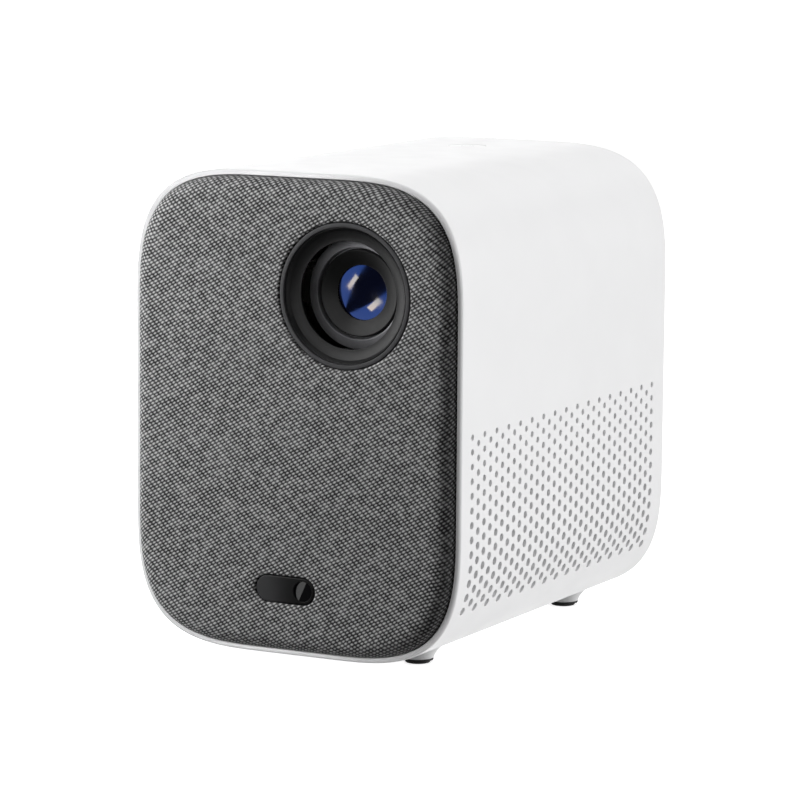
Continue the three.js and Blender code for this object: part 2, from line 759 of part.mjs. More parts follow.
projector.add(
  part("engine_housing", engineHousing(), finish(0x8e9094, 0.45, 1)),
  part("engine_cover", engineCover(), finish(0x8e9094, 0.45, 1)),
  part("tir_prism", prism, finish(0xcfdce6, 0.03), [LENS_X, 0, LENS_Z - PRISM_SIDE / 2]),
  part("picture_chip", pictureChip, finish(0x50545e, 0.1, 1), [LENS_X, 0, LENS_Z]),
  part("picture_chip_board", dmdBoard, finish(0x1c4a34, 0.5), [LENS_X, 0, LENS_Z]),
  part("blue_light", lightModule(), finish(0x2848c0, 0.4), [BLUE_X, boardBehind, LENS_Z]),
  part("red_light", lightModule(), finish(0xb02820, 0.4), [RED_X, boardBehind, LENS_Z]),
);
const greenLight = part("green_light", lightModule(), finish(0x208838, 0.4));
greenLight.position.set(ENGINE.x0 - GAP, -10, LENS_Z);
greenLight.rotation.z = Math.PI / 2;
projector.add(greenLight);
for (const [name, x] of [["blue", BLUE_X], ["red", RED_X]]) {
  const plate = part(`dichroic_plate_${name}`, dichroicPlate(), finish(0x9fb4d8, 0.03));
  plate.position.set(x, -10, LENS_Z);
  plate.rotation.z = Math.PI / 4;
  projector.add(plate);
}

// ---------------------------------------------------------------- cooling

const fan = new THREE.Group();
fan.position.copy(FAN_POSITION);
fan.rotation.z = Math.PI / 2;
projector.add(fan);

/** Square frame with a round duct, and a motor cup held on three struts at one face. */
function fanFrame() {
  const half = FAN_SIZE / 2;
  const depth = FAN_DEPTH / 2;
  const duct = rodY(FAN_HOLE_R, -depth - 1, depth + 1, 0, 0, LARGE);
  const ring = cut(slabY(roundedShape(-half, half, -half, half, 3), -depth, depth, 1), duct);
  const screwAt = half - 4;
  const holes = [[1, 1], [-1, 1], [-1, -1], [1, -1]].map(([u, v]) =>
    rodY(2.1, -depth - 1, depth + 1, u * screwAt, v * screwAt, SMALL),
  );
  const cup = rodY(FAN_HUB_R - 1, -depth, -depth + 1.6);
  const struts = [0, 120, 240].map((angle) =>
    bar(-1.5, 1.5, -depth, -depth + 1.6, 5, FAN_HOLE_R + 1).rotate([0, angle, 0]),
  );
  return join(cut(ring, ...holes), cup, ...struts);
}

function fanRotor() {
  const hubFront = 5.5;
  const chord = 12;
  const reach = 14.5;
  const pitch = 40;
  const hub = turnedY([
    [0, -hubFront],
    [FAN_HUB_R, -hubFront],
    [FAN_HUB_R, hubFront - 0.5],
    [FAN_HUB_R - 0.8, hubFront],
    [0, hubFront],
  ]);
  const blades = Array.from({ length: FAN_BLADES }, (_, blade) =>
    bar(-chord / 2, chord / 2, -0.55, 0.55, 0, reach)
      .rotate([0, 0, pitch])
      .translate([0, 0, FAN_HUB_R - 1])
      .rotate([0, (360 * blade) / FAN_BLADES, 0]),
  );
  return join(hub, ...blades);
}

fan.add(
  part("fan_frame", fanFrame(), finish(0x1a1a1c, 0.5)),
  part("fan_rotor", fanRotor(), finish(0x202024, 0.45)),
);

/** Comb of thin fins hanging from a thick base plate. */
function heatSink() {
  const [y0, y1, bottomZ, baseZ, topZ] = [2, 58, 32, 84, 88];
  const fins = 14;
  const finThickness = 1.2;
  const pitch = (y1 - y0 - finThickness) / (fins - 1);
  const points = [new THREE.Vector2(y1, topZ), new THREE.Vector2(y0, topZ)];
  for (let fin = 0; fin < fins; fin++) {
    const start = y0 + fin * pitch;
    if (fin > 0) points.push(new THREE.Vector2(start, baseZ));
    points.push(new THREE.Vector2(start, bottomZ), new THREE.Vector2(start + finThickness, bottomZ));
    if (fin < fins - 1) points.push(new THREE.Vector2(start + finThickness, baseZ));
  }
  return slabX(new THREE.Shape(points), -36.5, 8);
}

/** Heat pipe from the back of a light module down to the top of the heat sink. */
function heatPipe(x) {
  const pipeR = 2.5;
  const y = ENGINE.y1 + 7.1;
  const restZ = 88 + GAP + pipeR;
  const bend = 8;
  const at = (pointY, pointZ) => new THREE.Vector3(x, pointY, pointZ);
  const path = new THREE.CurvePath();
  path.add(new THREE.LineCurve3(at(y, LENS_Z + 6), at(y, restZ + bend)));
  path.add(new THREE.QuadraticBezierCurve3(at(y, restZ + bend), at(y, restZ), at(y + bend, restZ)));
  path.add(new THREE.LineCurve3(at(y + bend, restZ), at(56, restZ)));
  const section = new THREE.Shape().absarc(0, 0, pipeR, 0, 2 * Math.PI);
  return solid(new THREE.ExtrudeGeometry(section, { steps: 12, curveSegments: 4, extrudePath: path }));
}

projector.add(
  part("heat_sink", heatSink(), finish(0xb4b6ba, 0.35, 1)),
  part("heat_pipe_blue", heatPipe(BLUE_X), finish(0xb87348, 0.3, 1)),
  part("heat_pipe_red", heatPipe(RED_X), finish(0xb87348, 0.3, 1)),
);

// ---------------------------------------------------------------- speakers

/** Closed box with a round opening in its front face, about the speaker's own axis. */
function speakerEnclosure() {
  const half = 23.3;
  const wall = 2;
  const [frontY, backY] = [-66.5, -24];
  const box = bar(-half, half, frontY, backY, -half, half);
  const inner = half - wall;
  const hollow = bar(-inner, inner, frontY + wall, backY - wall, -inner, inner);
  return cut(box, hollow, rodY(20.2, frontY - 1, frontY + wall + 1, 0, 0));
}

const speakerDriver = () =>
  turnedY(
    [
      [0, -47],
      [13.5, -47],
      [13.5, -60.5],
      [15.5, -60.5],
      [19.4, -67.1],
      [21.5, -67.1],
      [21.5, -68.6],
      [18.2, -68.6],
      [18.2, -67.6],
      [14.4, -61.2],
      [0, -58],
    ],
    MEDIUM,
  );

/** Paper cone with its half-round surround, dust cap and voice coil former, as one thin skin. */
const speakerCone = () =>
  turnedY(
    [
      [0, -64.8],
      [5, -63.1],
      [5, -61],
      [5.6, -61],
      [5.6, -63],
      [14.6, -67.6],
      [16, -68.7],
      [17.7, -67.9],
      [17.7, -68.6],
      [16, -69.4],
      [14.4, -68.3],
      [5.6, -63.8],
      [0, -65.4],
    ],
    MEDIUM,
  );

for (const [side, x] of [["left", -SPEAKER_X], ["right", SPEAKER_X]]) {
  const place = [x, 0, SPEAKER_Z];
  projector.add(
    part(`speaker_enclosure_${side}`, speakerEnclosure(), finish(0x1b1b1d, 0.6), place),
    part(`speaker_driver_${side}`, speakerDriver(), finish(0x7c7e82, 0.4, 1), place),
    part(`speaker_cone_${side}`, speakerCone(), finish(0x26262a, 0.8), place),
  );
}

// ---------------------------------------------------------------- boards and inner frame

/** Shelf across the shell under the optical engine, with slots for the heat pipes and flat cable. */
const innerFrame = () =>
  cut(
    bar(-54.6, 54.6, -26, 70, 95.2, 97.7),
    bar(-24, 2, ENGINE.y1 + 2.5, ENGINE.y1 + 11, 94, 99),
    bar(12, 26, ENGINE.y1 + 1.5, ENGINE.y1 + 6, 94, 99),
    bar(14, 44, 22, 58, 94, 99),
    bar(-46, -24, 22, 58, 94, 99),
  );

const mainBoard = () =>
  join(
    bar(-42, 42, -8, 65.6, BOARD_Z, BOARD_TOP_Z),
    bar(-14, 14, 14, 42, BOARD_TOP_Z - 0.2, BOARD_TOP_Z + 6),
    bar(12, 26, -7, -3, BOARD_TOP_Z - 0.2, BOARD_TOP_Z + 3.4),
    bar(20, 32, 26, 38, BOARD_TOP_Z - 0.2, BOARD_TOP_Z + 1.2),
    bar(-34, -22, 6, 16, BOARD_TOP_Z - 0.2, BOARD_TOP_Z + 1.2),
    rodZ(4, BOARD_TOP_Z - 0.2, BOARD_TOP_Z + 9, 36, 10, SMALL),
    rodZ(4, BOARD_TOP_Z - 0.2, BOARD_TOP_Z + 9, 36, 20, SMALL),
  );

const lightDriverBoard = () =>
  join(
    bar(44, 45.6, 2, 57, 30, 90),
    bar(38, 44.2, 12, 24, 36, 48),
    bar(38, 44.2, 12, 24, 54, 66),
    bar(38, 44.2, 12, 24, 72, 84),
    bar(41, 44.2, 34, 50, 50, 64),
  );

/** Ribbon that hangs from the picture chip board and curves in to its connector on the main board. */
function flatCable() {
  const half = 0.2;
  const bendR = 11.5;
  const y = ENGINE.y1 + 3.4;
  const bendZ = 20.5 + bendR;
  const shape = new THREE.Shape();
  shape.moveTo(y + half, LENS_Z - 9);
  shape.lineTo(y - half, LENS_Z - 9);
  shape.lineTo(y - half, bendZ);
  shape.absarc(y - bendR, bendZ, bendR - half, 0, -Math.PI / 2, true);
  shape.lineTo(-2.7, bendZ - bendR + half);
  shape.lineTo(-2.7, bendZ - bendR - half);
  shape.absarc(y - bendR, bendZ, bendR + half, -Math.PI / 2, 0, false);
  return slabX(shape, 14, 24, 3);
}

projector.add(
  part("inner_frame", innerFrame(), finish(0x9a9ca0, 0.5, 1)),
  part("main_board", mainBoard(), finish(0x1c4a34, 0.5)),
  part("light_driver_board", lightDriverBoard(), finish(0x1c4a34, 0.5)),
  part("flat_cable", flatCable(), finish(0xd9d6cf, 0.5)),
);

export default projector;
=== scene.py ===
import json
import math

import bmesh
import bpy
import numpy as np
from mathutils import Matrix, Vector
from mathutils.geometry import delaunay_2d_cdt


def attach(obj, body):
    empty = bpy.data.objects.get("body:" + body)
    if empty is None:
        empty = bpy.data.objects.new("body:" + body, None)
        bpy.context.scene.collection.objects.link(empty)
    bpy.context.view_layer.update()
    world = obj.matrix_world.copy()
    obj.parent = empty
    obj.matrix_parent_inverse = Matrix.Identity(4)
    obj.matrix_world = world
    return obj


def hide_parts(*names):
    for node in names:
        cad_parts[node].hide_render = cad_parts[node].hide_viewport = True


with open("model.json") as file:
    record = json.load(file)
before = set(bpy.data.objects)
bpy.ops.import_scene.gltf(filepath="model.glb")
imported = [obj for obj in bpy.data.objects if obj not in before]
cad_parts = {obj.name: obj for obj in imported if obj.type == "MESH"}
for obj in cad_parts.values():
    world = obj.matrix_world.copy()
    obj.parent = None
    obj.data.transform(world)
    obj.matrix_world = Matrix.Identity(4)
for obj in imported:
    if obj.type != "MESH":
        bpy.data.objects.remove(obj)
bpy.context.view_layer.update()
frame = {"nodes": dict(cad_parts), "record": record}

# The projector stands on z = 0 with its cloth front towards -Y.
# Lengths are in millimetres, and each mesh is scaled to metres as it is made.
MM = 0.001
WIDTH, HEIGHT = 115, 151  # the body's section, without the feet
CORNER, POWER = 46, 3.25  # size and exponent of the section's superellipse corners
RIM_Y, REAR_Y, CLOTH_Y = -72.75, 77.25, -77.25
BOTTOM_Z, TOP_Z, MIDDLE_Z = 4.5, 155.5, 80
WALL, LIP, GAP = 2.4, 1.7, 0.3  # LIP is the wall's thickness at the front rim
LENS_X, LENS_Z = 19.2, 118.8
NOSE_Y = RIM_Y + 4.6  # front of the lens barrel
WINDOW_X, WINDOW_Z, WINDOW_HALF, WINDOW_R = -1.1, 26.0, 10.3, 4.15
CAMERA_X = WINDOW_X + WINDOW_HALF - WINDOW_R
FOOT_X, FOOT_YS = 27.5, {"front": -42.5, "rear": 63.5}
BUTTON_Y, BUTTON_R = 43, 6
EYE_Z = 55  # infrared window in the rear cover
SCREW_X, SCREW_ZS = 50.5, {"lower": 50, "upper": 128}
COVER_FRONT_Y, COVER_BACK_Y = 73.6, 76.4
SOCKET_Z, HDMI_X, USB_X = 18.9, 9, -11


# ---- camera

CAMERA_PLACE = (0.59082, -1.12387, 0.26303)  # in metres
CAMERA_ANGLES = (27.80, 8.35, 0.421)  # azimuth from -Y towards +X, elevation and roll, in degrees


def set_camera():
    azimuth, elevation, roll = (math.radians(a) for a in CAMERA_ANGLES)
    back = Vector((
        math.sin(azimuth) * math.cos(elevation),
        -math.cos(azimuth) * math.cos(elevation),
        math.sin(elevation),
    ))
    level = Vector((math.cos(azimuth), math.sin(azimuth), 0))
    upright = back.cross(level)
    right = level * math.cos(roll) + upright * math.sin(roll)
    up = upright * math.cos(roll) - level * math.sin(roll)
    data = bpy.data.cameras.new("camera")
    data.sensor_width = 36
    data.lens = 177.85
    data.shift_x = -0.00066
    data.shift_y = -0.0034
    data.clip_start = 0.01
    camera = bpy.data.objects.new("camera", data)
    turn = Matrix((right, up, back)).transposed()
    camera.matrix_world = Matrix.Translation(CAMERA_PLACE) @ turn.to_4x4()
    bpy.context.scene.collection.objects.link(camera)
    bpy.context.scene.camera = camera


set_camera()


# ---- materials

class Look:
    """A material's node tree, with short ways to add nodes. Positions in it are metres in the row frame."""

    def __init__(self, name, color, roughness, **sockets):
        self.name = name
        self.made = bpy.data.materials.new(name)
        self.made.use_nodes = True
        self.made.diffuse_color = (*color, 1)
        self.nodes, self.links = self.made.node_tree.nodes, self.made.node_tree.links
        self.shader = self.nodes["Principled BSDF"]
        self.color = color
        self.fill(self.shader, {"Base Color": (*color, 1), "Roughness": roughness})
        self.fill(self.shader, {key.replace("_", " "): value for key, value in sockets.items()})
        self.place = self.node("TexCoord").outputs["Object"]

    def fill(self, node, inputs):
        for key, value in inputs.items():
            if isinstance(value, bpy.types.NodeSocket):
                self.links.new(value, node.inputs[key])
            else:
                node.inputs[key].default_value = value

    def node(self, kind, inputs=None, **settings):
        node = self.nodes.new("ShaderNode" + kind)
        for key, value in settings.items():
            setattr(node, key, value)
        self.fill(node, inputs or {})
        return node

    def math(self, operation, *values, clamp=False):
        return self.node("Math", dict(enumerate(values)), operation=operation, use_clamp=clamp).outputs[0]

    def total(self, first, *rest):
        for value in rest:
            first = self.math("ADD", first, value)
        return first

    def product(self, first, second):
        return self.math("MULTIPLY", first, second)

    def weighted(self, u, u_share, v, v_share):
        return self.total(self.product(u, u_share), self.product(v, v_share))

    def reach(self, u, v):
        """Distance of (u, v) from zero."""
        return self.math("SQRT", self.weighted(u, u, v, v))

    def within(self, value, middle, half):
        """1 where value is less than half away from middle, and 0 elsewhere."""
        return self.math("LESS_THAN", self.math("ABSOLUTE", self.math("SUBTRACT", value, middle)), half)

    def away_from(self, point, vector):
        return self.node("VectorMath", {0: vector, 1: point}, operation="SUBTRACT").outputs[0]

    def scaled(self, vector, share):
        return self.node("VectorMath", {0: vector, 3: share}, operation="SCALE").outputs[0]

    def parts(self, vector):
        return self.node("SeparateXYZ", {0: vector}).outputs

    def stretched(self, vector, scale, turn=(0, 0, 0)):
        return self.node("Mapping", {"Vector": vector, "Scale": scale, "Rotation": turn}).outputs[0]

    def noise(self, size, detail=2.0, vector=None):
        """Noise from 0 to 1 whose features are about size millimetres across."""
        inputs = {"Vector": vector or self.place, "Scale": 1 / (size * MM), "Detail": detail}
        return self.node("TexNoise", inputs).outputs[0]

    def spread(self, value, low, high, from_low=0.35, from_high=0.65):
        """Smooth step from low to high as value goes from from_low to from_high."""
        inputs = {"Value": value, "From Min": from_low, "From Max": from_high, "To Min": low, "To Max": high}
        return self.node("MapRange", inputs, interpolation_type="SMOOTHSTEP").outputs[0]

    def blend(self, share, first, second):
        first, second = ((*c, 1) if isinstance(c, tuple) and len(c) == 3 else c for c in (first, second))
        return self.node("Mix", {0: share, 6: first, 7: second}, data_type="RGBA").outputs[2]

    def paint(self, color):
        self.fill(self.shader, {"Base Color": color})

    def shade(self, size, change):
        """Slow lightening and darkening of the base colour, by change either way."""
        low, high = (tuple(min(c * (1 + s * change), 1) for c in self.color) for s in (-1, 1))
        self.paint(self.blend(self.spread(self.noise(size, 3), 0, 1), low, high))

    def wear(self, size, low, high, vector=None):
        """Roughness that changes over the surface."""
        self.fill(self.shader, {"Roughness": self.spread(self.noise(size, 3, vector), low, high)})

    def bump(self, height, depth):
        """Bumps of depth millimetres for a height from 0 to 1, on top of any made before."""
        inputs = {"Height": height, "Distance": depth * MM}
        old = self.shader.inputs["Normal"]
        if old.is_linked:
            inputs["Normal"] = old.links[0].from_socket
        self.fill(self.shader, {"Normal": self.node("Bump", inputs).outputs[0]})


def plastic(name, color, roughness, grain=0.35, depth=0.02, change=0.03, **sockets):
    """Moulded plastic: a fine spark-eroded grain, slow tone changes and uneven gloss."""
    look = Look(name, color, roughness, **sockets)
    look.shade(22, change)
    look.wear(9, roughness * 0.88, roughness * 1.12)
    look.bump(look.noise(grain, 3), depth)
    return look


def metal(name, color, roughness, along=(1, 1, 1), grain=0.25, depth=0.01, **sockets):
    """Metal with brushing or tool marks; along stretches the marks."""
    look = Look(name, color, roughness, Metallic=1.0, **sockets)
    marks = look.stretched(look.place, along)
    look.shade(6, 0.08)
    look.wear(grain * 3, roughness * 0.75, roughness * 1.25, vector=marks)
    look.bump(look.noise(grain, 3, marks), depth)
    return look


def shell_white():
    look = plastic("white_shell", (0.8, 0.8, 0.807), 0.34, grain=0.5, depth=0.004, change=0.006)
    look.fill(look.shader, {"Coat Weight": 0.18, "Coat Roughness": 0.12})
    return look


def button_white():
    """The shell's plastic, with the power symbol printed in pale grey: a ring open at the back, and a bar."""
    look = shell_white()
    look.name = look.made.name = "white_button"
    x, y, _ = look.parts(look.place)
    across = look.math("ABSOLUTE", x)
    along = look.math("SUBTRACT", y, BUTTON_Y * MM)
    line = 0.17 * MM
    on_ring = look.within(look.reach(x, along), 2.0 * MM, line)
    in_gap = look.product(look.math("LESS_THAN", across, 0.75 * MM), look.math("GREATER_THAN", along, 0))
    ring = look.math("SUBTRACT", on_ring, in_gap, clamp=True)
    bar = look.product(look.math("LESS_THAN", across, line), look.within(along, 1.75 * MM, 1.05 * MM))
    printed = look.math("MAXIMUM", ring, bar)
    plain = look.shader.inputs["Base Color"].links[0].from_socket
    look.paint(look.blend(printed, plain, (0.5, 0.5, 0.51)))
    return look


WEAVE_FIRST, WEAVE_SECOND = (-0.468, -0.479), (0.459, -0.922)  # turns per millimetre across and up the cloth
DARK_YARN, PALE_YARN = (0.006, 0.006, 0.007), (0.78, 0.78, 0.785)


def cloth():
    """Twill of pale and black yarn. The pale floats form a slanting lattice, given by its two wave vectors."""
    look = Look("speaker_cloth", (0.1, 0.1, 0.104), 0.75, Sheen_Weight=0.12, Sheen_Roughness=0.5)
    flat = look.node("UVMap").outputs[0]
    sway = look.node("TexNoise", {"Vector": flat, "Scale": 0.22, "Detail": 2}).outputs[1]
    sway = look.scaled(look.away_from((0.5, 0.5, 0.5), sway), 0.35)
    flat = look.node("VectorMath", {0: flat, 1: sway}, operation="ADD").outputs[0]
    u, v, _ = look.parts(flat)

    def wave(turns, share):
        return look.product(look.math("COSINE", look.product(turns, 2 * math.pi)), share)

    first, second = (look.weighted(u, per_u, v, per_v) for per_u, per_v in (WEAVE_FIRST, WEAVE_SECOND))
    height = look.total(
        wave(first, 0.33),
        wave(second, 0.40),
        wave(look.math("SUBTRACT", second, first), 0.21),
        wave(look.math("ADD", first, second), 0.07),
    )
    cell = look.node("CombineXYZ", {0: look.math("ROUND", first), 1: look.math("ROUND", second)}).outputs[0]
    chance = look.node("TexWhiteNoise", {"Vector": cell}, noise_dimensions="3D").outputs[0]
    height = look.total(height, look.spread(chance, -0.17, 0.17, 0, 1))
    fibres = look.stretched(flat, (3, 16, 1), (0, 0, math.radians(-27)))
    fibre = look.node("TexNoise", {"Vector": fibres, "Scale": 1.0, "Detail": 3}).outputs[0]
    lift = look.spread(look.total(height, look.spread(fibre, -0.22, 0.22, 0.25, 0.75)), 0, 1, -0.55, 0.92)
    look.paint(look.blend(lift, DARK_YARN, PALE_YARN))
    look.bump(lift, 0.16)
    return look


def lens_black():
    """Black plastic with fine turned rings round the lens axis. The bezel's lip and the barrel's front face are
    paler than the hood between them, partly as a paler finish and partly as painted light: the barrel's front
    face carries a painted highlight that grows towards the upper right, and the sunken hood is painted darker
    as shade. The bore behind the lens is painted black as shade."""
    color, roughness = (0.017, 0.017, 0.018), 0.42
    look = Look("lens_black", color, roughness, Specular_IOR_Level=0.3)
    x, y, z = look.parts(look.away_from((LENS_X * MM, 0, LENS_Z * MM), look.place))
    reach = look.reach(x, z)
    rings = look.math("SINE", look.product(reach, 2 * math.pi / (0.25 * MM)))
    uneven = look.spread(look.noise(3.5, 3), 0.92, 1.08)
    # Painted shade: the bore behind the lens is painted black, as the shade deep in the barrel.
    behind_lens = look.math("GREATER_THAN", y, (NOSE_Y + 3.15) * MM)
    bore = look.product(behind_lens, look.math("LESS_THAN", reach, 12.5 * MM))
    on_barrel = look.math("GREATER_THAN", y, (NOSE_Y - 0.2) * MM)
    # Painted highlight: the barrel's front face is painted paler towards the upper right, where light falls on
    # it.
    upper_right_painted_highlight = look.spread(look.total(x, z), 0.4, 1.5, -15 * MM, 15 * MM)
    front_face = look.product(look.spread(reach, 0.0, 16.6, 13.5 * MM, 13.8 * MM), upper_right_painted_highlight)
    barrel = look.total(front_face, 0.4)
    # The lip is painted paler than the sunken hood: partly a paler finish, partly painted light on the lip and
    # painted shade in the hood.
    bezel = look.spread(reach, 0.55, 2.8, 20.7 * MM, 21.0 * MM)
    tone = look.product(uneven, look.node("Mix", {0: on_barrel, 2: bezel, 3: barrel}).outputs[0])
    look.paint(look.blend(bore, look.scaled(color, tone), (0.001, 0.001, 0.001)))
    look.wear(1.2, roughness * 0.95, roughness * 1.05)
    look.bump(look.spread(rings, 0, 1, -1, 1), 0.006)
    look.bump(look.noise(0.12, 2), 0.003)
    return look


def board():
    """Green solder mask over paler traces, with round pads scattered over it."""
    look = Look("circuit_board", (0.012, 0.085, 0.045), 0.35)
    lines = look.node("TexBrick", {"Vector": look.stretched(look.place, (260, 260, 260)), "Scale": 1.0})
    lines.inputs["Mortar Size"].default_value = 0.05
    trace = lines.outputs["Fac"]
    spots = look.node("TexVoronoi", {"Vector": look.place, "Scale": 300}).outputs["Distance"]
    pad = look.spread(spots, 1, 0, 0.12, 0.16)
    green = look.blend(trace, look.color, (0.03, 0.16, 0.08))
    look.paint(look.blend(pad, green, (0.55, 0.5, 0.38)))
    look.bump(trace, 0.03)
    look.bump(pad, 0.03)
    return look


def emitter(name, color):
    """Coloured light source with small paler chips."""
    look = Look(name, color, 0.35)
    dots = look.node("TexVoronoi", {"Vector": look.place, "Scale": 900}).outputs["Distance"]
    look.paint(look.blend(look.spread(dots, 1, 0, 0.2, 0.4), color, tuple(min(c + 0.35, 1) for c in color)))
    look.bump(look.noise(0.3), 0.02)
    return look


def glass(name, color, roughness, **sockets):
    """Glass with faint uneven polish."""
    look = Look(name, color, roughness, **sockets)
    look.wear(8, roughness * 0.6, roughness * 1.6)
    look.bump(look.noise(6), 0.0004)
    return look


def smoked_window():
    """Black window whose colour darkens from its left end to over the camera."""
    look = plastic("window_black", (0.038, 0.038, 0.04), 0.4, depth=0.001, Specular_IOR_Level=0.22)
    x, _, _ = look.parts(look.place)
    shade = look.spread(x, 1.0, 0.08, (WINDOW_X - WINDOW_HALF) * MM, (CAMERA_X - 1) * MM)
    plain = look.shader.inputs["Base Color"].links[0].from_socket
    look.paint(look.scaled(plain, shade))
    return look


GLASS_BALL = 50  # radius of the ball that the coating's normals follow


def coated_glass():
    """Black-looking lens with a blue coating. Its normals bend one way on the half towards the key light and
    back on the other, so that it shows the reflection of its inner face as well as that of its front."""
    look = glass("coated_glass", (0.003, 0.004, 0.012), 0.07, IOR=2.2)
    look.fill(look.shader, {"Specular Tint": (0.03, 0.095, 0.42, 1)})
    x, _, z = look.parts(look.away_from((LENS_X * MM, 0, LENS_Z * MM), look.place))
    cos, sin = math.cos(math.radians(48)), math.sin(math.radians(48))
    inward = look.weighted(x, -sin, z, cos)
    along = look.weighted(x, cos, z, sin)
    inward = look.product(look.math("ABSOLUTE", inward), 1 / (GLASS_BALL * MM))
    along = look.product(along, 1 / (GLASS_BALL * MM))
    tip_x = look.weighted(inward, -sin, along, cos)
    tip_z = look.weighted(inward, cos, along, sin)
    facing = look.node("CombineXYZ", {0: tip_x, 1: -1.0, 2: tip_z}).outputs[0]
    look.fill(look.shader, {"Normal": look.node("VectorMath", {0: facing}, operation="NORMALIZE").outputs[0]})
    return look


LOOKS = {look.name: look for look in (
    shell_white(),
    plastic("white_foot", (0.84, 0.842, 0.845), 0.38, change=0.01, depth=0.008),
    button_white(),
    cloth(),
    plastic("black_plastic", (0.02, 0.02, 0.022), 0.45),
    lens_black(),
    smoked_window(),
    plastic("grey_cover", (0.05, 0.05, 0.054), 0.5, depth=0.035),
    metal("socket_steel", (0.6, 0.6, 0.59), 0.28, along=(1, 12, 1)),
    metal("screw_steel", (0.08, 0.08, 0.085), 0.36),
    metal("motor_steel", (0.45, 0.45, 0.46), 0.34, along=(1, 8, 1)),
    plastic("black_rubber", (0.016, 0.016, 0.016), 0.78, grain=0.25, depth=0.03),
    metal("insert_brass", (0.62, 0.46, 0.2), 0.3),
    board(),
    coated_glass(),
    glass("window_glass", (0.004, 0.004, 0.005), 0.16, Specular_IOR_Level=0.25),
    metal("ring_bronze", (0.16, 0.13, 0.11), 0.25, grain=0.1, depth=0.002),
    glass("clear_glass", (0.8, 0.86, 0.92), 0.02, Transmission_Weight=0.9, IOR=1.5),
    metal("chip_mirror", (0.4, 0.42, 0.46), 0.12, grain=0.05, depth=0.003),
    metal("cast_metal", (0.26, 0.27, 0.28), 0.5, grain=0.6, depth=0.05),
    metal("fin_aluminium", (0.6, 0.61, 0.62), 0.34, along=(1, 1, 14)),
    metal("copper", (0.62, 0.27, 0.15), 0.3, along=(1, 9, 1)),
    plastic("gear_nylon", (0.7, 0.69, 0.64), 0.42),
    emitter("red_emitter", (0.5, 0.05, 0.04)),
    emitter("green_emitter", (0.04, 0.4, 0.1)),
    emitter("blue_emitter", (0.04, 0.1, 0.5)),
    plastic("cone_paper", (0.03, 0.03, 0.034), 0.8, grain=0.8, depth=0.12, change=0.2),
    plastic("cable_film", (0.6, 0.58, 0.54), 0.4),
)}
SLOTS = {s["node"]: s["material_slot"] for s in frame["record"]["subparts"]}


# ---- mesh tools

def finish_piece(obj, slot, body="chassis", replaces=(), look=None):
    """Puts a piece on its body, in place of CAD nodes, with the look of its slot or another."""
    obj.data.materials.clear()
    obj.data.materials.append(LOOKS[look or slot].made)
    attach(obj, body)
    if replaces:
        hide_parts(*replaces)


def raw(name, verts, faces):
    """Object of a mesh given in millimetres, with its faces turned outwards."""
    mesh = bpy.data.meshes.new(name)
    mesh.from_pydata((np.asarray(verts, float) * MM).tolist(), [], [list(f) for f in faces])
    work = bmesh.new()
    work.from_mesh(mesh)
    bmesh.ops.recalc_face_normals(work, faces=work.faces)
    work.to_mesh(mesh)
    work.free()
    obj = bpy.data.objects.new(name, mesh)
    bpy.context.scene.collection.objects.link(obj)
    return obj


def smooth(obj, angle=32):
    """Smooth shading with sharp edges where faces meet at more than angle degrees."""
    obj.data.shade_smooth()
    obj.data.set_sharp_from_angle(angle=math.radians(angle))
    return obj


def bevel(obj, width):
    made = obj.modifiers.new("edge", "BEVEL")
    made.width, made.segments = width * MM, 2
    made.limit_method, made.angle_limit = "ANGLE", math.radians(40)
    made.harden_normals = True


def apply_modifiers(obj):
    graph = bpy.context.evaluated_depsgraph_get()
    made = bpy.data.meshes.new_from_object(obj.evaluated_get(graph))
    obj.modifiers.clear()
    obj.data = made


def boolean(obj, tool, operation="DIFFERENCE"):
    """obj cut by tool, joined to it or kept inside it. The tool is used up."""
    made = obj.modifiers.new("cut", "BOOLEAN")
    made.operation, made.object, made.solver = operation, tool, "MANIFOLD"
    apply_modifiers(obj)
    bpy.data.objects.remove(tool)
    return obj


def joined(name, pieces):
    """One object from several closed meshes that don't touch."""
    verts, faces = [], []
    for piece in pieces:
        start = len(verts)
        verts += [tuple(v.co / MM) for v in piece.data.vertices]
        faces += [[start + k for k in p.vertices] for p in piece.data.polygons]
        bpy.data.objects.remove(piece)
    return raw(name, verts, faces)


def rings_mesh(name, rings, closed=False):
    """Surface through rings of equally many points: a tube that closes on itself, or one with flat ends."""
    count = len(rings[0])
    faces = []
    for k in range(len(rings) if closed else len(rings) - 1):
        here, there = k * count, (k + 1) % len(rings) * count
        for i in range(count):
            j = (i + 1) % count
            faces.append((here + i, here + j, there + j, there + i))
    if not closed:
        faces += [range(count), range((len(rings) - 1) * count, len(rings) * count)]
    return raw(name, np.concatenate(rings), faces)


def lathe(name, profile, at, axis="Y", segments=96):
    """Solid of revolution about an axis through at, from [radius, distance along the axis] points.
    A profile that starts and ends on the axis is a closed solid, and any other is a ring."""
    verts, rows = [], []
    angles = [2 * math.pi * k / segments for k in range(segments)]
    for r, along in profile:
        turn = [0] if r == 0 else angles
        rows.append(range(len(verts), len(verts) + len(turn)))
        for a in turn:
            u, v = r * math.cos(a), r * math.sin(a)
            verts.append({"X": (along, u, v), "Y": (u, along, v), "Z": (u, v, along)}[axis])
    verts = np.asarray(verts, float) + np.asarray(at, float)
    pairs = list(zip(rows, rows[1:]))
    if profile[0][0] > 0:
        pairs.append((rows[-1], rows[0]))
    faces = []
    for low, high in pairs:
        for k in range(segments):
            ring = [low[k % len(low)], low[(k + 1) % len(low)], high[(k + 1) % len(high)], high[k % len(high)]]
            ring = list(dict.fromkeys(ring))
            if len(ring) > 2:
                faces.append(ring)
    return raw(name, verts, faces)


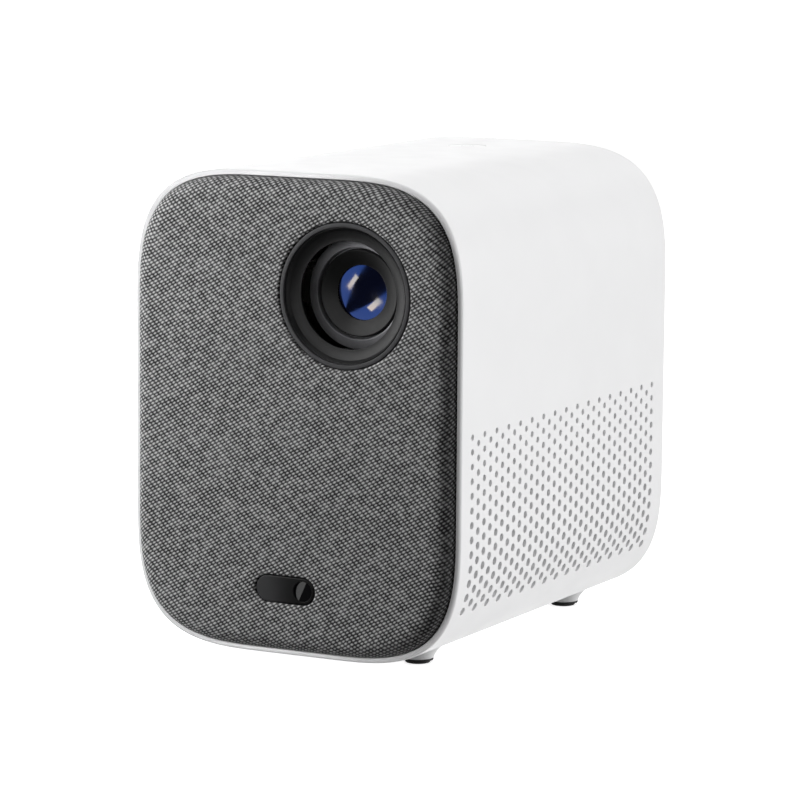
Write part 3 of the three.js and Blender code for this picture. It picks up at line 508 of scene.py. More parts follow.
def rod(name, radius, start, end, at, axis="Y", segments=24):
    return lathe(name, [[0, start], [radius, start], [radius, end], [0, end]], at, axis, segments)


def arc(center_r, center_y, radius, start, end, steps=6):
    """[radius, distance] points of a round in a lathe profile. Angles are in degrees from facing outwards."""
    angles = np.radians(np.linspace(start, end, steps + 1))
    return [[center_r + radius * math.cos(a), center_y + radius * math.sin(a)] for a in angles]


def rounded(u0, u1, v0, v1, radius, grow=0, steps=8):
    """Rectangle with round corners as [u, v] points."""
    radius = max(radius + grow, 1e-3)
    u0, u1, v0, v1 = u0 - grow, u1 + grow, v0 - grow, v1 + grow
    left, right, low, high = u0 + radius, u1 - radius, v0 + radius, v1 - radius
    points = []
    for quarter, (cu, cv) in enumerate([(right, high), (left, high), (left, low), (right, low)]):
        for k in range(steps + 1):
            a = (quarter + k / steps) * math.pi / 2
            points.append((cu + radius * math.cos(a), cv + radius * math.sin(a)))
    return np.array(points)


def section_at(y, flat):
    """Ring at y through flat [x, z] points."""
    return np.stack([flat[:, 0], np.full(len(flat), float(y)), flat[:, 1]], 1)


def slab(name, rectangle, levels, steps=8):
    """Rounded rectangle stretched along Y, with [y, grow] levels for bevelled ends."""
    rings = [section_at(y, rounded(*rectangle, grow=grow, steps=steps)) for y, grow in levels]
    return rings_mesh(name, rings)


# ---- body section

CORNER_STEPS = 44
_dense = np.linspace(0, math.pi / 2, 4001)


def corner_curve(angles, size=CORNER):
    """[along, up] of a superellipse corner of that size, from its start on the side to its start on the top."""
    cos, sin = np.clip(np.cos(angles), 0, 1), np.clip(np.sin(angles), 0, 1)
    return np.stack([size * cos ** (2 / POWER), size * sin ** (2 / POWER)], 1)


_curve = corner_curve(_dense)
_length = np.concatenate([[0], np.cumsum(np.hypot(*np.diff(_curve, axis=0).T))])
CORNER_ANGLES = np.interp(np.linspace(0, _length[-1], CORNER_STEPS + 1), _length, _dense)


def outline(inset):
    """Section of the body, pulled in by inset, as [x, z] points."""
    size = CORNER - inset
    corner = corner_curve(CORNER_ANGLES, size) + (WIDTH / 2 - inset - size, HEIGHT / 2 - inset - size)
    quarters = [corner, corner[::-1] * (-1, 1), corner * (-1, -1), corner[::-1] * (1, -1)]
    return np.concatenate(quarters) + (0, MIDDLE_Z)


def outward(x, z, inset=0.0):
    """Unit normal of the body's section at a point on it, as arrays of x and z parts."""
    size = CORNER - inset
    u = np.clip((np.abs(x) - (WIDTH / 2 - CORNER)) / size, 0, None)
    v = np.clip((np.abs(z - MIDDLE_Z) - (HEIGHT / 2 - CORNER)) / size, 0, None)
    nx, nz = u ** (POWER - 1), v ** (POWER - 1)
    length = np.maximum(np.hypot(nx, nz), 1e-9)
    return np.sign(x) * nx / length, np.sign(z - MIDDLE_Z) * nz / length


def body_loft(name, sections, closed=False):
    """Solid or tube whose sections along Y are body outlines, one for each [y, inset]."""
    return rings_mesh(name, [section_at(y, outline(inset)) for y, inset in sections], closed)


def round_section(y, inset, radius, start, end, steps=6):
    """[y, inset] points of a round edge of the body. Angles are in degrees from facing out to facing -Y."""
    angles = np.radians(np.linspace(start, end, steps + 1))
    return [[y - radius * math.sin(a), inset - radius * math.cos(a)] for a in angles]


# ---- outer shell

FRONT_ROUND, BACK_ROUND = 0.9, 1.0
VENT_FIRST_Y, VENT_TOP_Z = RIM_Y + 7.655, BOTTOM_Z + 72.34
VENT_PITCH_Y, VENT_PITCH_DOWN, VENT_COLUMNS, VENT_ROWS = 8.254, 4.535, 33, 13
VENT_R_TOP, VENT_R_BOTTOM, VENT_CHAMFER = 1.03, 1.45, 0.12


def side_at(down):
    """(x, z, normal x, normal z) on the right side at a distance down the surface from the top row of vents."""
    straight = VENT_TOP_Z - (BOTTOM_Z + CORNER)
    if down <= straight:
        return WIDTH / 2, VENT_TOP_Z - down, 1.0, 0.0
    angle = np.interp(down - straight, _length, _dense)
    along, up = corner_curve(np.array([angle]))[0]
    x, z = WIDTH / 2 - CORNER + along, BOTTOM_Z + CORNER - up
    nx, nz = outward(np.array([x]), np.array([z]))
    return x, z, float(nx[0]), float(nz[0])


def vent_holes():
    """(y, distance down, radius) of each vent of one side: two staggered grids."""
    for column in range(VENT_COLUMNS):
        odd = column % 2
        for row in range(VENT_ROWS - odd):
            step = row + odd / 2
            share = min(step / (VENT_ROWS - 2), 1)
            radius = VENT_R_TOP + (VENT_R_BOTTOM - VENT_R_TOP) * share
            yield VENT_FIRST_Y + column * VENT_PITCH_Y / 2, step * VENT_PITCH_DOWN, radius


def vent_cutters():
    """Rods with flared outer ends that cut the vents of both sides."""
    sides = 20
    levels = [(0.5, 0.5 + VENT_CHAMFER), (-VENT_CHAMFER, 0), (-WALL - 0.8, 0)]
    verts, faces = [], []
    for mirror in (1, -1):
        for y, down, radius in vent_holes():
            x, z, nx, nz = side_at(down)
            start = len(verts)
            for out, flare in levels:
                for k in range(sides):
                    a = 2 * math.pi * (k + 0.5) / sides
                    r = radius - VENT_CHAMFER + flare
                    across, tall = r * math.cos(a), r * math.sin(a)
                    verts.append((mirror * (x + out * nx - tall * nz), y + across, z + out * nz + tall * nx))
            for ring in range(len(levels) - 1):
                for k in range(sides):
                    here, there = start + ring * sides, start + (ring + 1) * sides
                    faces.append((here + k, here + (k + 1) % sides, there + (k + 1) % sides, there + k))
            faces.append(range(start, start + sides))
            faces.append(range(start + 2 * sides, start + 3 * sides))
    return raw("vent_cutters", verts, faces)


def even_normals(obj):
    """Exact normals on the shell's outside, so that cutting the vents leaves its shading even."""
    mesh = obj.data
    smooth(obj, 35)
    count = len(mesh.loops)
    vertex = np.empty(count, int)
    mesh.loops.foreach_get("vertex_index", vertex)
    place = np.empty(len(mesh.vertices) * 3)
    mesh.vertices.foreach_get("co", place)
    x, y, z = (place.reshape(-1, 3)[vertex] / MM).T
    facing = np.empty(len(mesh.polygons) * 3)
    mesh.polygons.foreach_get("normal", facing)
    sizes = np.empty(len(mesh.polygons), int)
    mesh.polygons.foreach_get("loop_total", sizes)
    facing = np.repeat(facing.reshape(-1, 3), sizes, axis=0)
    nx, nz = outward(x, z)
    lean = np.clip((RIM_Y + FRONT_ROUND - y) / FRONT_ROUND, 0, 1)
    flat = np.sqrt(1 - lean ** 2)
    exact = np.stack([nx * flat, -lean, nz * flat], 1)
    exact[(exact * facing).sum(1) < math.cos(math.radians(14))] = 0
    mesh.normals_split_custom_set(exact.tolist())


def outer_shell():
    """Hollow sleeve with a thinned front lip, posts for the cover screws, a tripod boss, and all its holes."""
    rim = round_section(RIM_Y + FRONT_ROUND, FRONT_ROUND, FRONT_ROUND, 0, 90, 8)
    lip = round_section(RIM_Y + 0.25, LIP - 0.25, 0.25, 90, 180, 3)
    lip += [[RIM_Y + 1.8, LIP], [RIM_Y + 2.6, WALL]]
    tail = round_section(REAR_Y - BACK_ROUND, BACK_ROUND, BACK_ROUND, -90, 0, 5)
    inner_tail = round_section(REAR_Y - 0.3, WALL - 0.3, 0.3, 180, 270, 3)
    shell = body_loft("shell", [*rim, *lip, *inner_tail, *tail], closed=True)
    inside = body_loft("inside", [[RIM_Y + 5, WALL / 2], [COVER_FRONT_Y - GAP, WALL / 2]])
    posts, bores = [], []
    for side in (-1, 1):
        for z in SCREW_ZS.values():
            posts.append(rod("post", 5.2, 59.3, 73.3, (side * SCREW_X, 0, z)))
            bores.append(rod("bore", 1.4, 58, 75, (side * SCREW_X, 0, z), segments=16))
        for y in FOOT_YS.values():
            bores.append(rod("bore", 3.3, 0, 9, (side * FOOT_X, y, 0), "Z"))
    posts = boolean(joined("posts", posts), inside, "INTERSECT")
    tripod_boss = rod("boss", 8.6, BOTTOM_Z + WALL / 2, BOTTOM_Z + 8, (0, 0, 0), "Z", 48)
    boolean(shell, joined("posts", [posts, tripod_boss]), "UNION")
    bores.append(rod("bore", 6.3, 0, 13.5, (0, 0, 0), "Z", 48))
    hole_r = BUTTON_R + 0.12
    flare = [[hole_r, TOP_Z - 0.15], [hole_r + 0.4, TOP_Z + 0.25]]
    button_hole = [[0, 150], [hole_r, 150], *flare, [0, TOP_Z + 0.25]]
    bores.append(lathe("bore", button_hole, (0, BUTTON_Y, 0), "Z", 96))
    boolean(shell, joined("bores", bores))
    boolean(shell, vent_cutters())
    shell.name = "outer_shell_vented"
    even_normals(shell)
    finish_piece(shell, "white_shell", replaces=["outer_shell"])


outer_shell()


# ---- speaker cloth

CLOTH_EDGE, CLOTH_RISE, CLOTH_THICK = 5.0, 4.5, 0.5  # width and height of its rounded edge, and its thickness
CLOTH_STEPS, CLOTH_PITCH = 10, 3.0  # steps over the rounded edge, and spacing of the points on the flat middle
CLOTH_HOLE_R, CLOTH_HOLE_GAP = 22.78, 0.28  # its round hole, and its clearance from the autofocus window
HOLE_TURN, HOLE_POINTS = 0.7, 120


def from_lens(x, z):
    return math.hypot(x - LENS_X, z - LENS_Z)


def from_window(x, z):
    """Distance from the middle line of the autofocus window."""
    return math.hypot(max(abs(x - WINDOW_X) - (WINDOW_HALF - WINDOW_R), 0), z - WINDOW_Z)


def hole_loops():
    """Loops round the lens and the window, in pairs with how far the cloth has turned back there."""
    round_hole = np.linspace(0, 2 * math.pi, HOLE_POINTS + 1)[:-1]
    for angle in np.linspace(0, math.pi / 2, 5):
        away, sink = HOLE_TURN * (1 - math.cos(angle)), HOLE_TURN * (1 - math.sin(angle))
        r = CLOTH_HOLE_R + away
        yield np.stack([LENS_X + r * np.cos(round_hole), LENS_Z + r * np.sin(round_hole)], 1), sink
        pill = (WINDOW_X - WINDOW_HALF, WINDOW_X + WINDOW_HALF, WINDOW_Z - WINDOW_R, WINDOW_Z + WINDOW_R)
        yield rounded(*pill, WINDOW_R, grow=CLOTH_HOLE_GAP + away, steps=12), sink


def middle_points():
    """Grid of points on the cloth's flat middle, clear of its edge and of both holes."""
    margin = 7.7
    half_x, half_z, corner = WIDTH / 2 - margin, HEIGHT / 2 - margin, CORNER - margin
    for x in np.arange(-48, 48.1, CLOTH_PITCH):
        for z in np.arange(12, 149, CLOTH_PITCH):
            past_corner = np.array([abs(x) - half_x + corner, abs(z - MIDDLE_Z) - half_z + corner])
            inside = (np.clip(past_corner / corner, 0, None) ** POWER).sum() < 0.93
            if inside and from_lens(x, z) > 25 and from_window(x, z) > 6.6:
                yield x, z


def edge_levels(edge):
    """(inset, y, length along the cloth from where its rounded edge starts) of the sections down to its hem."""
    run, last = 0.0, (0.0, CLOTH_RISE)
    for step in range(1, CLOTH_STEPS + 1):
        angle = (1 - step / CLOTH_STEPS) * math.pi / 2
        away, rise = CLOTH_EDGE * math.cos(angle), CLOTH_RISE * math.sin(angle)
        run += math.hypot(away - last[0], rise - last[1])
        last = (away, rise)
        yield edge + CLOTH_EDGE - away, RIM_Y - rise, run
    for hem in (0.5, 1.0):
        yield edge, RIM_Y + hem, run + hem


def grille_cloth():
    """The cloth's outside, flat in the middle with a rounded edge, then given its thickness. Its UVs are
    millimetres on the flat cloth."""
    edge = LIP + GAP
    rim = outline(edge + CLOTH_EDGE)
    points, sinks, edges = [], [], []
    for loop, sink in [(rim, 0.0), *hole_loops()]:
        start = len(points)
        points += [tuple(p) for p in loop]
        sinks += [sink] * len(loop)
        edges += [(start + k, start + (k + 1) % len(loop)) for k in range(len(loop))]
    points += middle_points()
    sinks += [0.0] * (len(points) - len(sinks))
    made = delaunay_2d_cdt([Vector(p) for p in points], edges, [], 0, 1e-6, True)
    flat = np.array([tuple(v) for v in made[0]])
    first = [ids[0] for ids in made[3]]
    faces = []
    for face in made[2]:
        x, z = flat[list(face)].mean(0)
        if from_lens(x, z) >= CLOTH_HOLE_R - 0.08 and from_window(x, z) >= WINDOW_R + CLOTH_HOLE_GAP - 0.03:
            faces.append(tuple(face))
    verts = [(x, CLOTH_Y + sinks[k], z) for (x, z), k in zip(flat, first)]
    uvs = [tuple(p) for p in flat]
    ring = [first.index(k) for k in range(len(rim))]
    nx, nz = outward(rim[:, 0], rim[:, 1], edge + CLOTH_EDGE)
    for inset, y, run in edge_levels(edge):
        start, count = len(verts), len(ring)
        verts += [(x, y, z) for x, z in outline(inset)]
        uvs += [(x + run * a, z + run * b) for (x, z), a, b in zip(rim, nx, nz)]
        new = list(range(start, start + count))
        faces += [(ring[k], ring[(k + 1) % count], new[(k + 1) % count], new[k]) for k in range(count)]
        ring = new
    obj = raw("grille_cloth", verts, faces)
    mesh = obj.data
    if sum(p.normal.y * p.area for p in mesh.polygons) > 0:
        mesh.flip_normals()
    layer = mesh.uv_layers.new(name="flat_cloth")
    for loop in mesh.loops:
        layer.data[loop.index].uv = uvs[loop.vertex_index]
    mesh.shade_smooth()
    thick = obj.modifiers.new("thickness", "SOLIDIFY")
    thick.thickness, thick.offset = CLOTH_THICK * MM, -1
    finish_piece(obj, "speaker_cloth", replaces=["grille_fabric"])


grille_cloth()


# ---- lens

def lens_bezel():
    lip = RIM_Y - 4.3
    profile = [
        *arc(22.2, lip + 0.3, 0.3, 0, -90, 5),
        *arc(21.35, lip + 0.2, 0.2, -90, -180, 4),
        [21.1, lip + 1.3],
        [20.75, lip + 1.3],
        [20.7, lip + 0.75],
        [20.5, lip + 0.95],
        [19.9, lip + 1.95],
        [19.0, lip + 2.45],
        [18.0, lip + 2.8],
        [17.1, lip + 3.0],
        *arc(16.85, lip + 3.2, 0.2, -90, -180, 4),
        [16.65, lip + 3.4],
        [18.9, lip + 4.1],
        [18.9, RIM_Y + 3.75],
        [22.5, RIM_Y + 3.75],
    ]
    obj = lathe("lens_bezel_ring", profile, (LENS_X, 0, LENS_Z), segments=160)
    finish_piece(smooth(obj, 28), "lens_black", replaces=["lens_bezel"])


def lens_barrel():
    nose = NOSE_Y
    profile = [
        *arc(17.2, nose + 1.05, 0.2, 0, -72, 5),
        *arc(14.5, nose + 0.45, 0.35, -75, -180, 5),
        [14.1, nose + 2.8],
        [13.4, nose + 2.8],
        *arc(13.1, nose + 0.95, 0.3, 0, -110, 5),
        [8.75, nose + 2.75],
        *arc(8.7, nose + 2.95, 0.2, -100, -180, 4),
        [8.5, nose + 3.1],
        [9.6, nose + 3.2],
        [9.6, nose + 7],
        [12.4, nose + 7],
        [12.4, -34],
        [15.8, -34],
        [15.8, nose + 9.6],
        [17.4, nose + 9.6],
    ]
    obj = lathe("lens_barrel_turned", profile, (LENS_X, 0, LENS_Z), segments=160)
    finish_piece(smooth(obj, 24), "lens_black", "lens_barrel", ["lens_barrel"])


def ball_face(radius, edge_y, sag, steps=14):
    """[radius, y] points of a spherical lens face from its middle to its edge; sag is negative towards -Y."""
    ball = (radius ** 2 + sag ** 2) / (2 * abs(sag))
    points = []
    for k in range(steps):
        r = radius * k / steps
        drop = ball - math.sqrt(ball ** 2 - r ** 2)
        points.append([r, edge_y + sag - math.copysign(drop, sag)])
    return points


def lens_element(name, radius, front_y, back_y, front_sag, back_sag, node, look):
    """Lens whose faces bulge by their sags at the middle; a negative sag is hollow."""
    front = ball_face(radius, front_y, -front_sag)
    back = ball_face(radius, back_y, back_sag)[::-1]
    obj = lathe(name, [*front, [radius, front_y], [radius, back_y], *back], (LENS_X, 0, LENS_Z), segments=96)
    finish_piece(smooth(obj), "coated_glass", "lens_barrel", [node], look)


def retaining_ring():
    """Thin polished ring that holds the front lens."""
    section = arc(8.62, NOSE_Y + 2.95, 0.14, 0, 330, 11)
    obj = lathe("lens_retaining_ring", section, (LENS_X, 0, LENS_Z), segments=120)
    finish_piece(smooth(obj, 60), "lens_black", "lens_barrel", look="ring_bronze")


lens_bezel()
lens_barrel()
retaining_ring()
lens_element("front_lens_element", 9.2, NOSE_Y + 3.3, NOSE_Y + 5.4, 0.85, -0.05, "front_lens", "coated_glass")
lens_element("rear_lens_element", 12, -43, -41, 2, 2, "rear_lens", "clear_glass")


# ---- autofocus window

def sensor_window():
    """Black pill with a conical recess round the autofocus camera."""
    front = CLOTH_Y + 0.3
    pill = (WINDOW_X - WINDOW_HALF, WINDOW_X + WINDOW_HALF, WINDOW_Z - WINDOW_R, WINDOW_Z + WINDOW_R, WINDOW_R)
    levels = [(front, -0.3), (front + 0.08, -0.12), (front + 0.3, 0), (front + 1.6, 0)]
    obj = slab("autofocus_window", pill, levels, steps=20)
    cone = [[4.3, front - 1], [3.3, front], [3.2, front + 0.1]]
    recess = [[0, front - 1], *cone, [3.2, front + 3], [0, front + 3]]
    boolean(obj, lathe("recess", recess, (CAMERA_X, 0, WINDOW_Z), segments=64))
    finish_piece(smooth(obj, 12), "window_black", replaces=["sensor_window"])


def autofocus_camera():
    """Round window of the autofocus camera, ground to two faces that meet in a slanting ridge."""
    ridge = CLOTH_Y + 0.4
    profile = [
        [0, ridge - 0.5], [3.12, ridge - 0.5], [3.12, ridge + 1.8],
        [2.4, ridge + 2.0], [2.4, ridge + 4.7], [0, ridge + 4.7],
    ]
    obj = lathe("autofocus_lens", profile, (CAMERA_X, 0, WINDOW_Z), segments=64)
    for facing in ((-0.2, -0.975, 0.09), (0.155, -0.985, -0.069)):
        tool = slab("face", (-9, 9, -9, 9, 0.1), [(-9, 0), (0, 0)], 2)
        turn = Vector((0, -1, 0)).rotation_difference(Vector(facing)).to_matrix().to_4x4()
        tool.data.transform(Matrix.Translation(Vector((CAMERA_X, ridge, WINDOW_Z)) * MM) @ turn)
        boolean(obj, tool)
    finish_piece(smooth(obj, 8), "lens_black", replaces=["autofocus_camera"], look="window_glass")


sensor_window()
autofocus_camera()


# ---- feet, insert and button

def feet():
    """Flared bases, trimmed to meet the body's rounded underside, on stepped rubber pads."""
    flare = [
        [0, 1.55], [4.9, 1.55], [5.15, 1.7], [5.25, 2.0], [5.5, 2.7], [6.0, 3.5],
        [6.8, 4.5], [7.7, 5.4], [8.6, 6.2], [9.0, 6.9], [9.0, 8], [0, 8],
    ]
    step, face = arc(4.85, 1.0, 0.15, -90, 0, 3), arc(3.7, 0.3, 0.3, -90, 0, 3)
    stepped = [[0, 0], [3.6, 0], *face, [4.1, 0.75], [4.85, 0.85], *step, [5.0, 1.5], [0, 1.5]]
    for side, x in (("left", -FOOT_X), ("right", FOOT_X)):
        for end, y in FOOT_YS.items():
            base = lathe(f"foot_base_{end}_{side}", flare, (x, y, 0), "Z", 72)
            boolean(base, body_loft("underside", [[RIM_Y, -0.02], [REAR_Y, -0.02]]))
            finish_piece(smooth(base, 40), "white_foot", replaces=[f"foot_{end}_{side}"])
            pad = lathe(f"foot_rubber_{end}_{side}", stepped, (x, y, 0), "Z", 72)
            finish_piece(smooth(pad, 40), "black_rubber", replaces=[f"foot_pad_{end}_{side}"])


def tripod_insert():
    """Brass insert with the crests of a thread inside."""
    profile = [[0, 12], [3.0, 12]]
    for turn in range(6):
        z = 11.4 - turn * 1.05
        profile += [[3.2, z], [2.75, z - 0.5]]
    profile += [[3.2, 5.1], [3.8, 4.5], [5.8, 4.5], [6.0, 4.7], [6.0, 13], [0, 13]]
    obj = lathe("tripod_thread", profile, (0, 0, 0), "Z", 64)
    finish_piece(smooth(obj, 30), "insert_brass", replaces=["tripod_insert"])


def power_button():
    """Round key on a wide flange, with a stem down to its switch."""
    top, r = TOP_Z - 0.06, BUTTON_R
    profile = [
        [0, 147.9], [1.5, 147.9], [1.5, 151.4], [7.2, 151.4], [7.2, 152.6], [r, 152.6], [r, top - 0.2],
        *arc(r - 0.2, top - 0.2, 0.2, 0, 90, 4), [0, top],
    ]
    obj = lathe("power_key", profile, (0, BUTTON_Y, 0), "Z", 96)
    finish_piece(smooth(obj, 30), "white_button", "power_button", ["power_button"])


feet()
tripod_insert()
power_button()


# ---- rear

def rear_cover():
    """Back plate with air slots, the port bay, the infrared window's hole and sunk screw holes."""
    edge, inset, back = 0.4, WALL + GAP, COVER_BACK_Y
    face = round_section(back - edge, inset + edge, edge, 0, -90, 4)
    plate = body_loft("rear_plate", [[COVER_FRONT_Y, inset], *face])
    cuts = [slab("bay", (-38, 38, 17, 33, 3), [(72, 0), (back - 0.4, 0), (back + 1, 1.4)])]
    eye = [[0, 72], [3.3, 72], [3.3, back - 0.3], [4.6, back + 1], [0, back + 1]]
    cuts.append(lathe("eye", eye, (0, 0, EYE_Z)))
    for row in range(10):
        z = 70 + row * 7
        for x0, x1 in ((-42, -2), (2, 42)):
            levels = [(72, 0), (back - 0.35, 0), (back + 1, 1.35)]
            cuts.append(slab("slot", (x0, x1, z, z + 3, 1.5), levels))
    hole = [
        [0, 72], [1.5, 72], [1.5, back - 1.4], [2.9, back - 1.4], [2.9, back - 0.2],
        [4.1, back + 1], [0, back + 1],
    ]
    for side in (-1, 1):
        for z in SCREW_ZS.values():
            cuts.append(lathe("hole", hole, (side * SCREW_X, 0, z), segments=40))
    boolean(plate, joined("cuts", cuts))
    plate.name = "rear_cover_slotted"
    finish_piece(smooth(plate, 30), "grey_cover", replaces=["rear_cover"])


def cover_screws():
    """Screws with a rounded head and a cross recess."""
    y = COVER_BACK_Y
    profile = [
        [0, y - 14], [1.1, y - 13.5], [1.1, y - 1.1], [2.4, y - 1.1], [2.5, y - 1.0], [2.5, y - 0.65],
        *arc(1.9, y - 0.65, 0.6, 0, 60, 4), [0, y - 0.05],
    ]
    for side, x in (("left", -SCREW_X), ("right", SCREW_X)):
        for level, z in SCREW_ZS.items():
            screw = lathe(f"screw_{level}_{side}", profile, (x, 0, z), segments=48)
            cross = []
            for a, b in ((1.35, 0.22), (0.22, 1.35)):
                arm = (x - a, x + a, z - b, z + b, 0.05)
                cross.append(slab("arm", arm, [(y - 0.75, 0), (y + 0.5, 0.12)], 2))
            boolean(screw, boolean(*cross, "UNION"))
            finish_piece(smooth(screw, 30), "screw_steel", replaces=[f"cover_screw_{level}_{side}"])


def infrared_window():
    y = COVER_BACK_Y - 0.2
    profile = [[0, y - 2.8], [3, y - 2.8], [3, y - 0.2], *arc(2.8, y - 0.2, 0.2, 0, 90, 4), [0, y]]
    obj = lathe("infrared_eye", profile, (0, 0, EYE_Z), segments=64)
    finish_piece(smooth(obj, 30), "window_black", replaces=["infrared_window"])


def tongues():
    """Contact tongues inside the HDMI and USB sockets, and their pins."""
    z = SOCKET_Z
    hdmi = (HDMI_X - 5.6, HDMI_X + 5.6, z + 2.5, z + 3.4, 0.1)
    usb = (USB_X - 5.6, USB_X + 5.6, z + 3.6, z + 5.5, 0.1)
    hdmi = slab("hdmi_tongue", hdmi, [(59, 0), (66.8, 0), (67.0, -0.1)], 2)
    usb = slab("usb_tongue", usb, [(56, 0), (66.6, 0), (66.9, -0.2)], 2)
    for obj in (hdmi, usb):
        finish_piece(smooth(obj, 30), "black_plastic")
    pins = []
    for k in range(10):
        x = HDMI_X - 4.5 + k
        pins.append(slab("pin", (x - 0.22, x + 0.22, z + 2.3, z + 2.6, 0.04), [(60, 0), (66.5, 0)], 2))
    for k in range(4):
        x = USB_X - 3.6 + k * 2.4
        pins.append(slab("pin", (x - 0.6, x + 0.6, z + 3.4, z + 3.7, 0.04), [(57, 0), (66, 0)], 2))
    finish_piece(smooth(joined("socket_contacts", pins), 30), "insert_brass")


rear_cover()
cover_screws()
infrared_window()
tongues()


# ---- carried-over nodes

EDGES = {
    "port_panel": 0.12,
    "dc_inlet": 0.15,
    "hdmi_socket": 0.1,
    "usb_socket": 0.1,
    "audio_socket": 0.15,
    "button_switch": 0.1,
    "engine_housing": 0.6,
    "engine_cover": 0.4,
    "heat_sink": 0.12,
    "inner_frame": 0.3,
    "main_board": 0.12,
    "light_driver_board": 0.12,
    "picture_chip_board": 0.1,
    "picture_chip": 0.2,
    "fan_frame": 0.3,
    "speaker_enclosure_left": 0.8,
    "speaker_enclosure_right": 0.8,
}


def carried_over():
    """Materials, and small bevels where EDGES gives their width, on the CAD nodes that are kept."""
    for name, obj in frame["nodes"].items():
        if obj.hide_render:
            continue
        look = LOOKS[SLOTS[name]].made
        obj.data.materials.clear()
        obj.data.materials.append(look)
        for slot in obj.material_slots:
            slot.link = "OBJECT"
            slot.material = look
        if name in EDGES:
            bevel(obj, EDGES[name])


carried_over()


# ---- floor and light

def floor():
    """Plain white floor, lit a little from inside so that only a faint shadow shows. The object is lit by the
    studio's surroundings instead of by the floor's reflections."""
    half = 9000
    corners = [(-half, -half, 0), (half, -half, 0), (half, half, 0), (-half, half, 0)]
    obj = raw("floor", corners, [(0, 1, 2, 3)])
    look = Look("floor", (0.8, 0.8, 0.8), 0.8)
    look.shade(900, 0.01)
    look.fill(look.shader, {"Emission Color": (1, 1, 1, 1), "Emission Strength": 0.8})
    obj.data.materials.append(look.made)
    obj.visible_diffuse = obj.visible_glossy = obj.visible_transmission = obj.visible_shadow = False


def area_light(name, place, target, size, power, up=(0, 0, 1), color=(1, 1, 1), only=(), without=()):
    """Rectangular light that faces target, with its second size along up. It lights the pieces in only, or all
    but those in without."""
    away = (Vector(place) - Vector(target)).normalized()
    data = bpy.data.lights.new(name, "AREA")
    data.shape = "RECTANGLE"
    data.size, data.size_y = size
    data.energy = power
    data.color = color
    light = bpy.data.objects.new(name, data)
    upright = (Vector(up) - Vector(up).dot(away) * away).normalized()
    turn = Matrix((upright.cross(away), upright, away)).transposed()
    light.matrix_world = Matrix.Translation(place) @ turn.to_4x4()
    light.visible_camera = False
    bpy.context.scene.collection.objects.link(light)
    if only or without:
        lit = bpy.data.collections.new("lit_by_" + name)
        for piece in (*only, *without):
            lit.objects.link(bpy.data.objects[piece])
        light.light_linking.receiver_collection = lit
        for entry in lit.collection_objects:
            entry.light_linking.link_state = "INCLUDE" if only else "EXCLUDE"


def softbox(name, azimuth, elevation, distance, size, power, **settings):
    """Area light that faces the lens, in a direction from it given in degrees from -Y towards +X and up."""
    azimuth, elevation = math.radians(azimuth), math.radians(elevation)
    away = Vector((
        math.sin(azimuth) * math.cos(elevation),
        -math.cos(azimuth) * math.cos(elevation),
        math.sin(elevation),
    ))
    lens = Vector((LENS_X, RIM_Y, LENS_Z)) * MM
    area_light(name, lens + away * distance, lens, size, power, **settings)


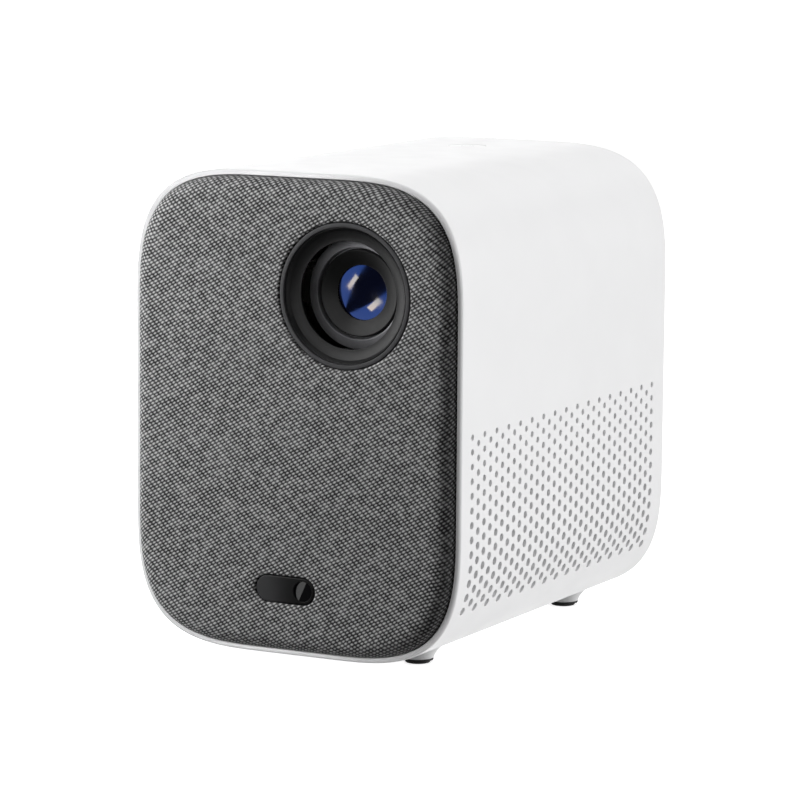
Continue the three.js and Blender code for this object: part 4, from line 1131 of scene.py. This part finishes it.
def sky():
    """White studio: even behind and beside the object and below it, dimmer above the horizon, and dark in front
    of the cloth."""
    world = bpy.data.worlds.new("studio")
    bpy.context.scene.world = world
    world.use_nodes = True
    nodes, links = world.node_tree.nodes, world.node_tree.links
    background = nodes["Background"]
    background.inputs["Strength"].default_value = 1.0
    place = nodes.new("ShaderNodeTexCoord")
    parts = nodes.new("ShaderNodeSeparateXYZ")
    links.new(place.outputs["Generated"], parts.inputs[0])

    def ramp(axis, inputs):
        made = nodes.new("ShaderNodeMapRange")
        made.interpolation_type = "SMOOTHSTEP"
        for key, value in inputs.items():
            made.inputs[key].default_value = value
        links.new(parts.outputs[axis], made.inputs["Value"])
        return made.outputs[0]

    def both(operation, first, second):
        made = nodes.new("ShaderNodeMath")
        made.operation = operation
        links.new(first, made.inputs[0])
        links.new(second, made.inputs[1])
        return made.outputs[0]

    depth = ramp("Y", {"From Min": 0.1, "From Max": 0.7, "To Min": 0.04, "To Max": 1.0})
    below = ramp("Z", {"From Min": -0.6, "From Max": -0.1, "To Min": 1.1, "To Max": 1.45})
    above = ramp("Z", {"From Min": 0.0, "From Max": 0.35, "To Min": 0.0, "To Max": -0.55})
    overhead = ramp("Z", {"From Min": 0.6, "From Max": 1.0, "To Min": 0.0, "To Max": 0.2})
    height = both("ADD", both("ADD", below, above), overhead)
    links.new(both("MULTIPLY", depth, height), background.inputs["Color"])


SHELL, CLOTH = ["outer_shell_vented"], ["grille_cloth"]
LENS_AND_WINDOW = ["lens_bezel_ring", "lens_barrel_turned", "autofocus_window", "autofocus_lens"]
BODY = (0, 0.02, 0.08)

floor()
sky()
softbox("key", -54, 17, 0.32, (0.30, 0.5), 1.52, up=(1, 0, 1), without=SHELL)
# The spot is orange, so that its glint on the lens's blue coating is nearly white.
softbox(
    "key_spot", -37, 0, 0.30, (0.018, 0.06), 0.26,
    up=(1, 0, 1), color=(1, 0.37, 0.06), only=["front_lens_element"],
)
softbox("lens_fill", 6, 12, 0.5, (0.25, 0.25), 0.4, only=LENS_AND_WINDOW)
softbox("rim_fill", -38, 0, 0.127, (0.04, 0.3), 0.22, only=SHELL)
softbox("edge_fill", 55, 5, 1.0, (0.2, 0.6), 3.2, only=SHELL)
area_light("panel_left", (-0.8, 0.1, 0.06), BODY, (1, 1), 3.2, without=CLOTH)
area_light("panel_right", (0.8, 0.1, 0.06), BODY, (1, 1), 2.6, without=CLOTH)
area_light("panel_top", (0, 0.2, 0.95), (0, 0.02, 0.1), (1, 1), 5.9, up=(0, 1, 0), without=CLOTH)
area_light("panel_below", (0.25, 0.2, -0.8), BODY, (1, 1), 1.3, up=(0, 1, 0), without=[*CLOTH, "floor"])
bpy.context.scene.view_settings.view_transform = "Standard"
bpy.context.scene.view_settings.look = "None"
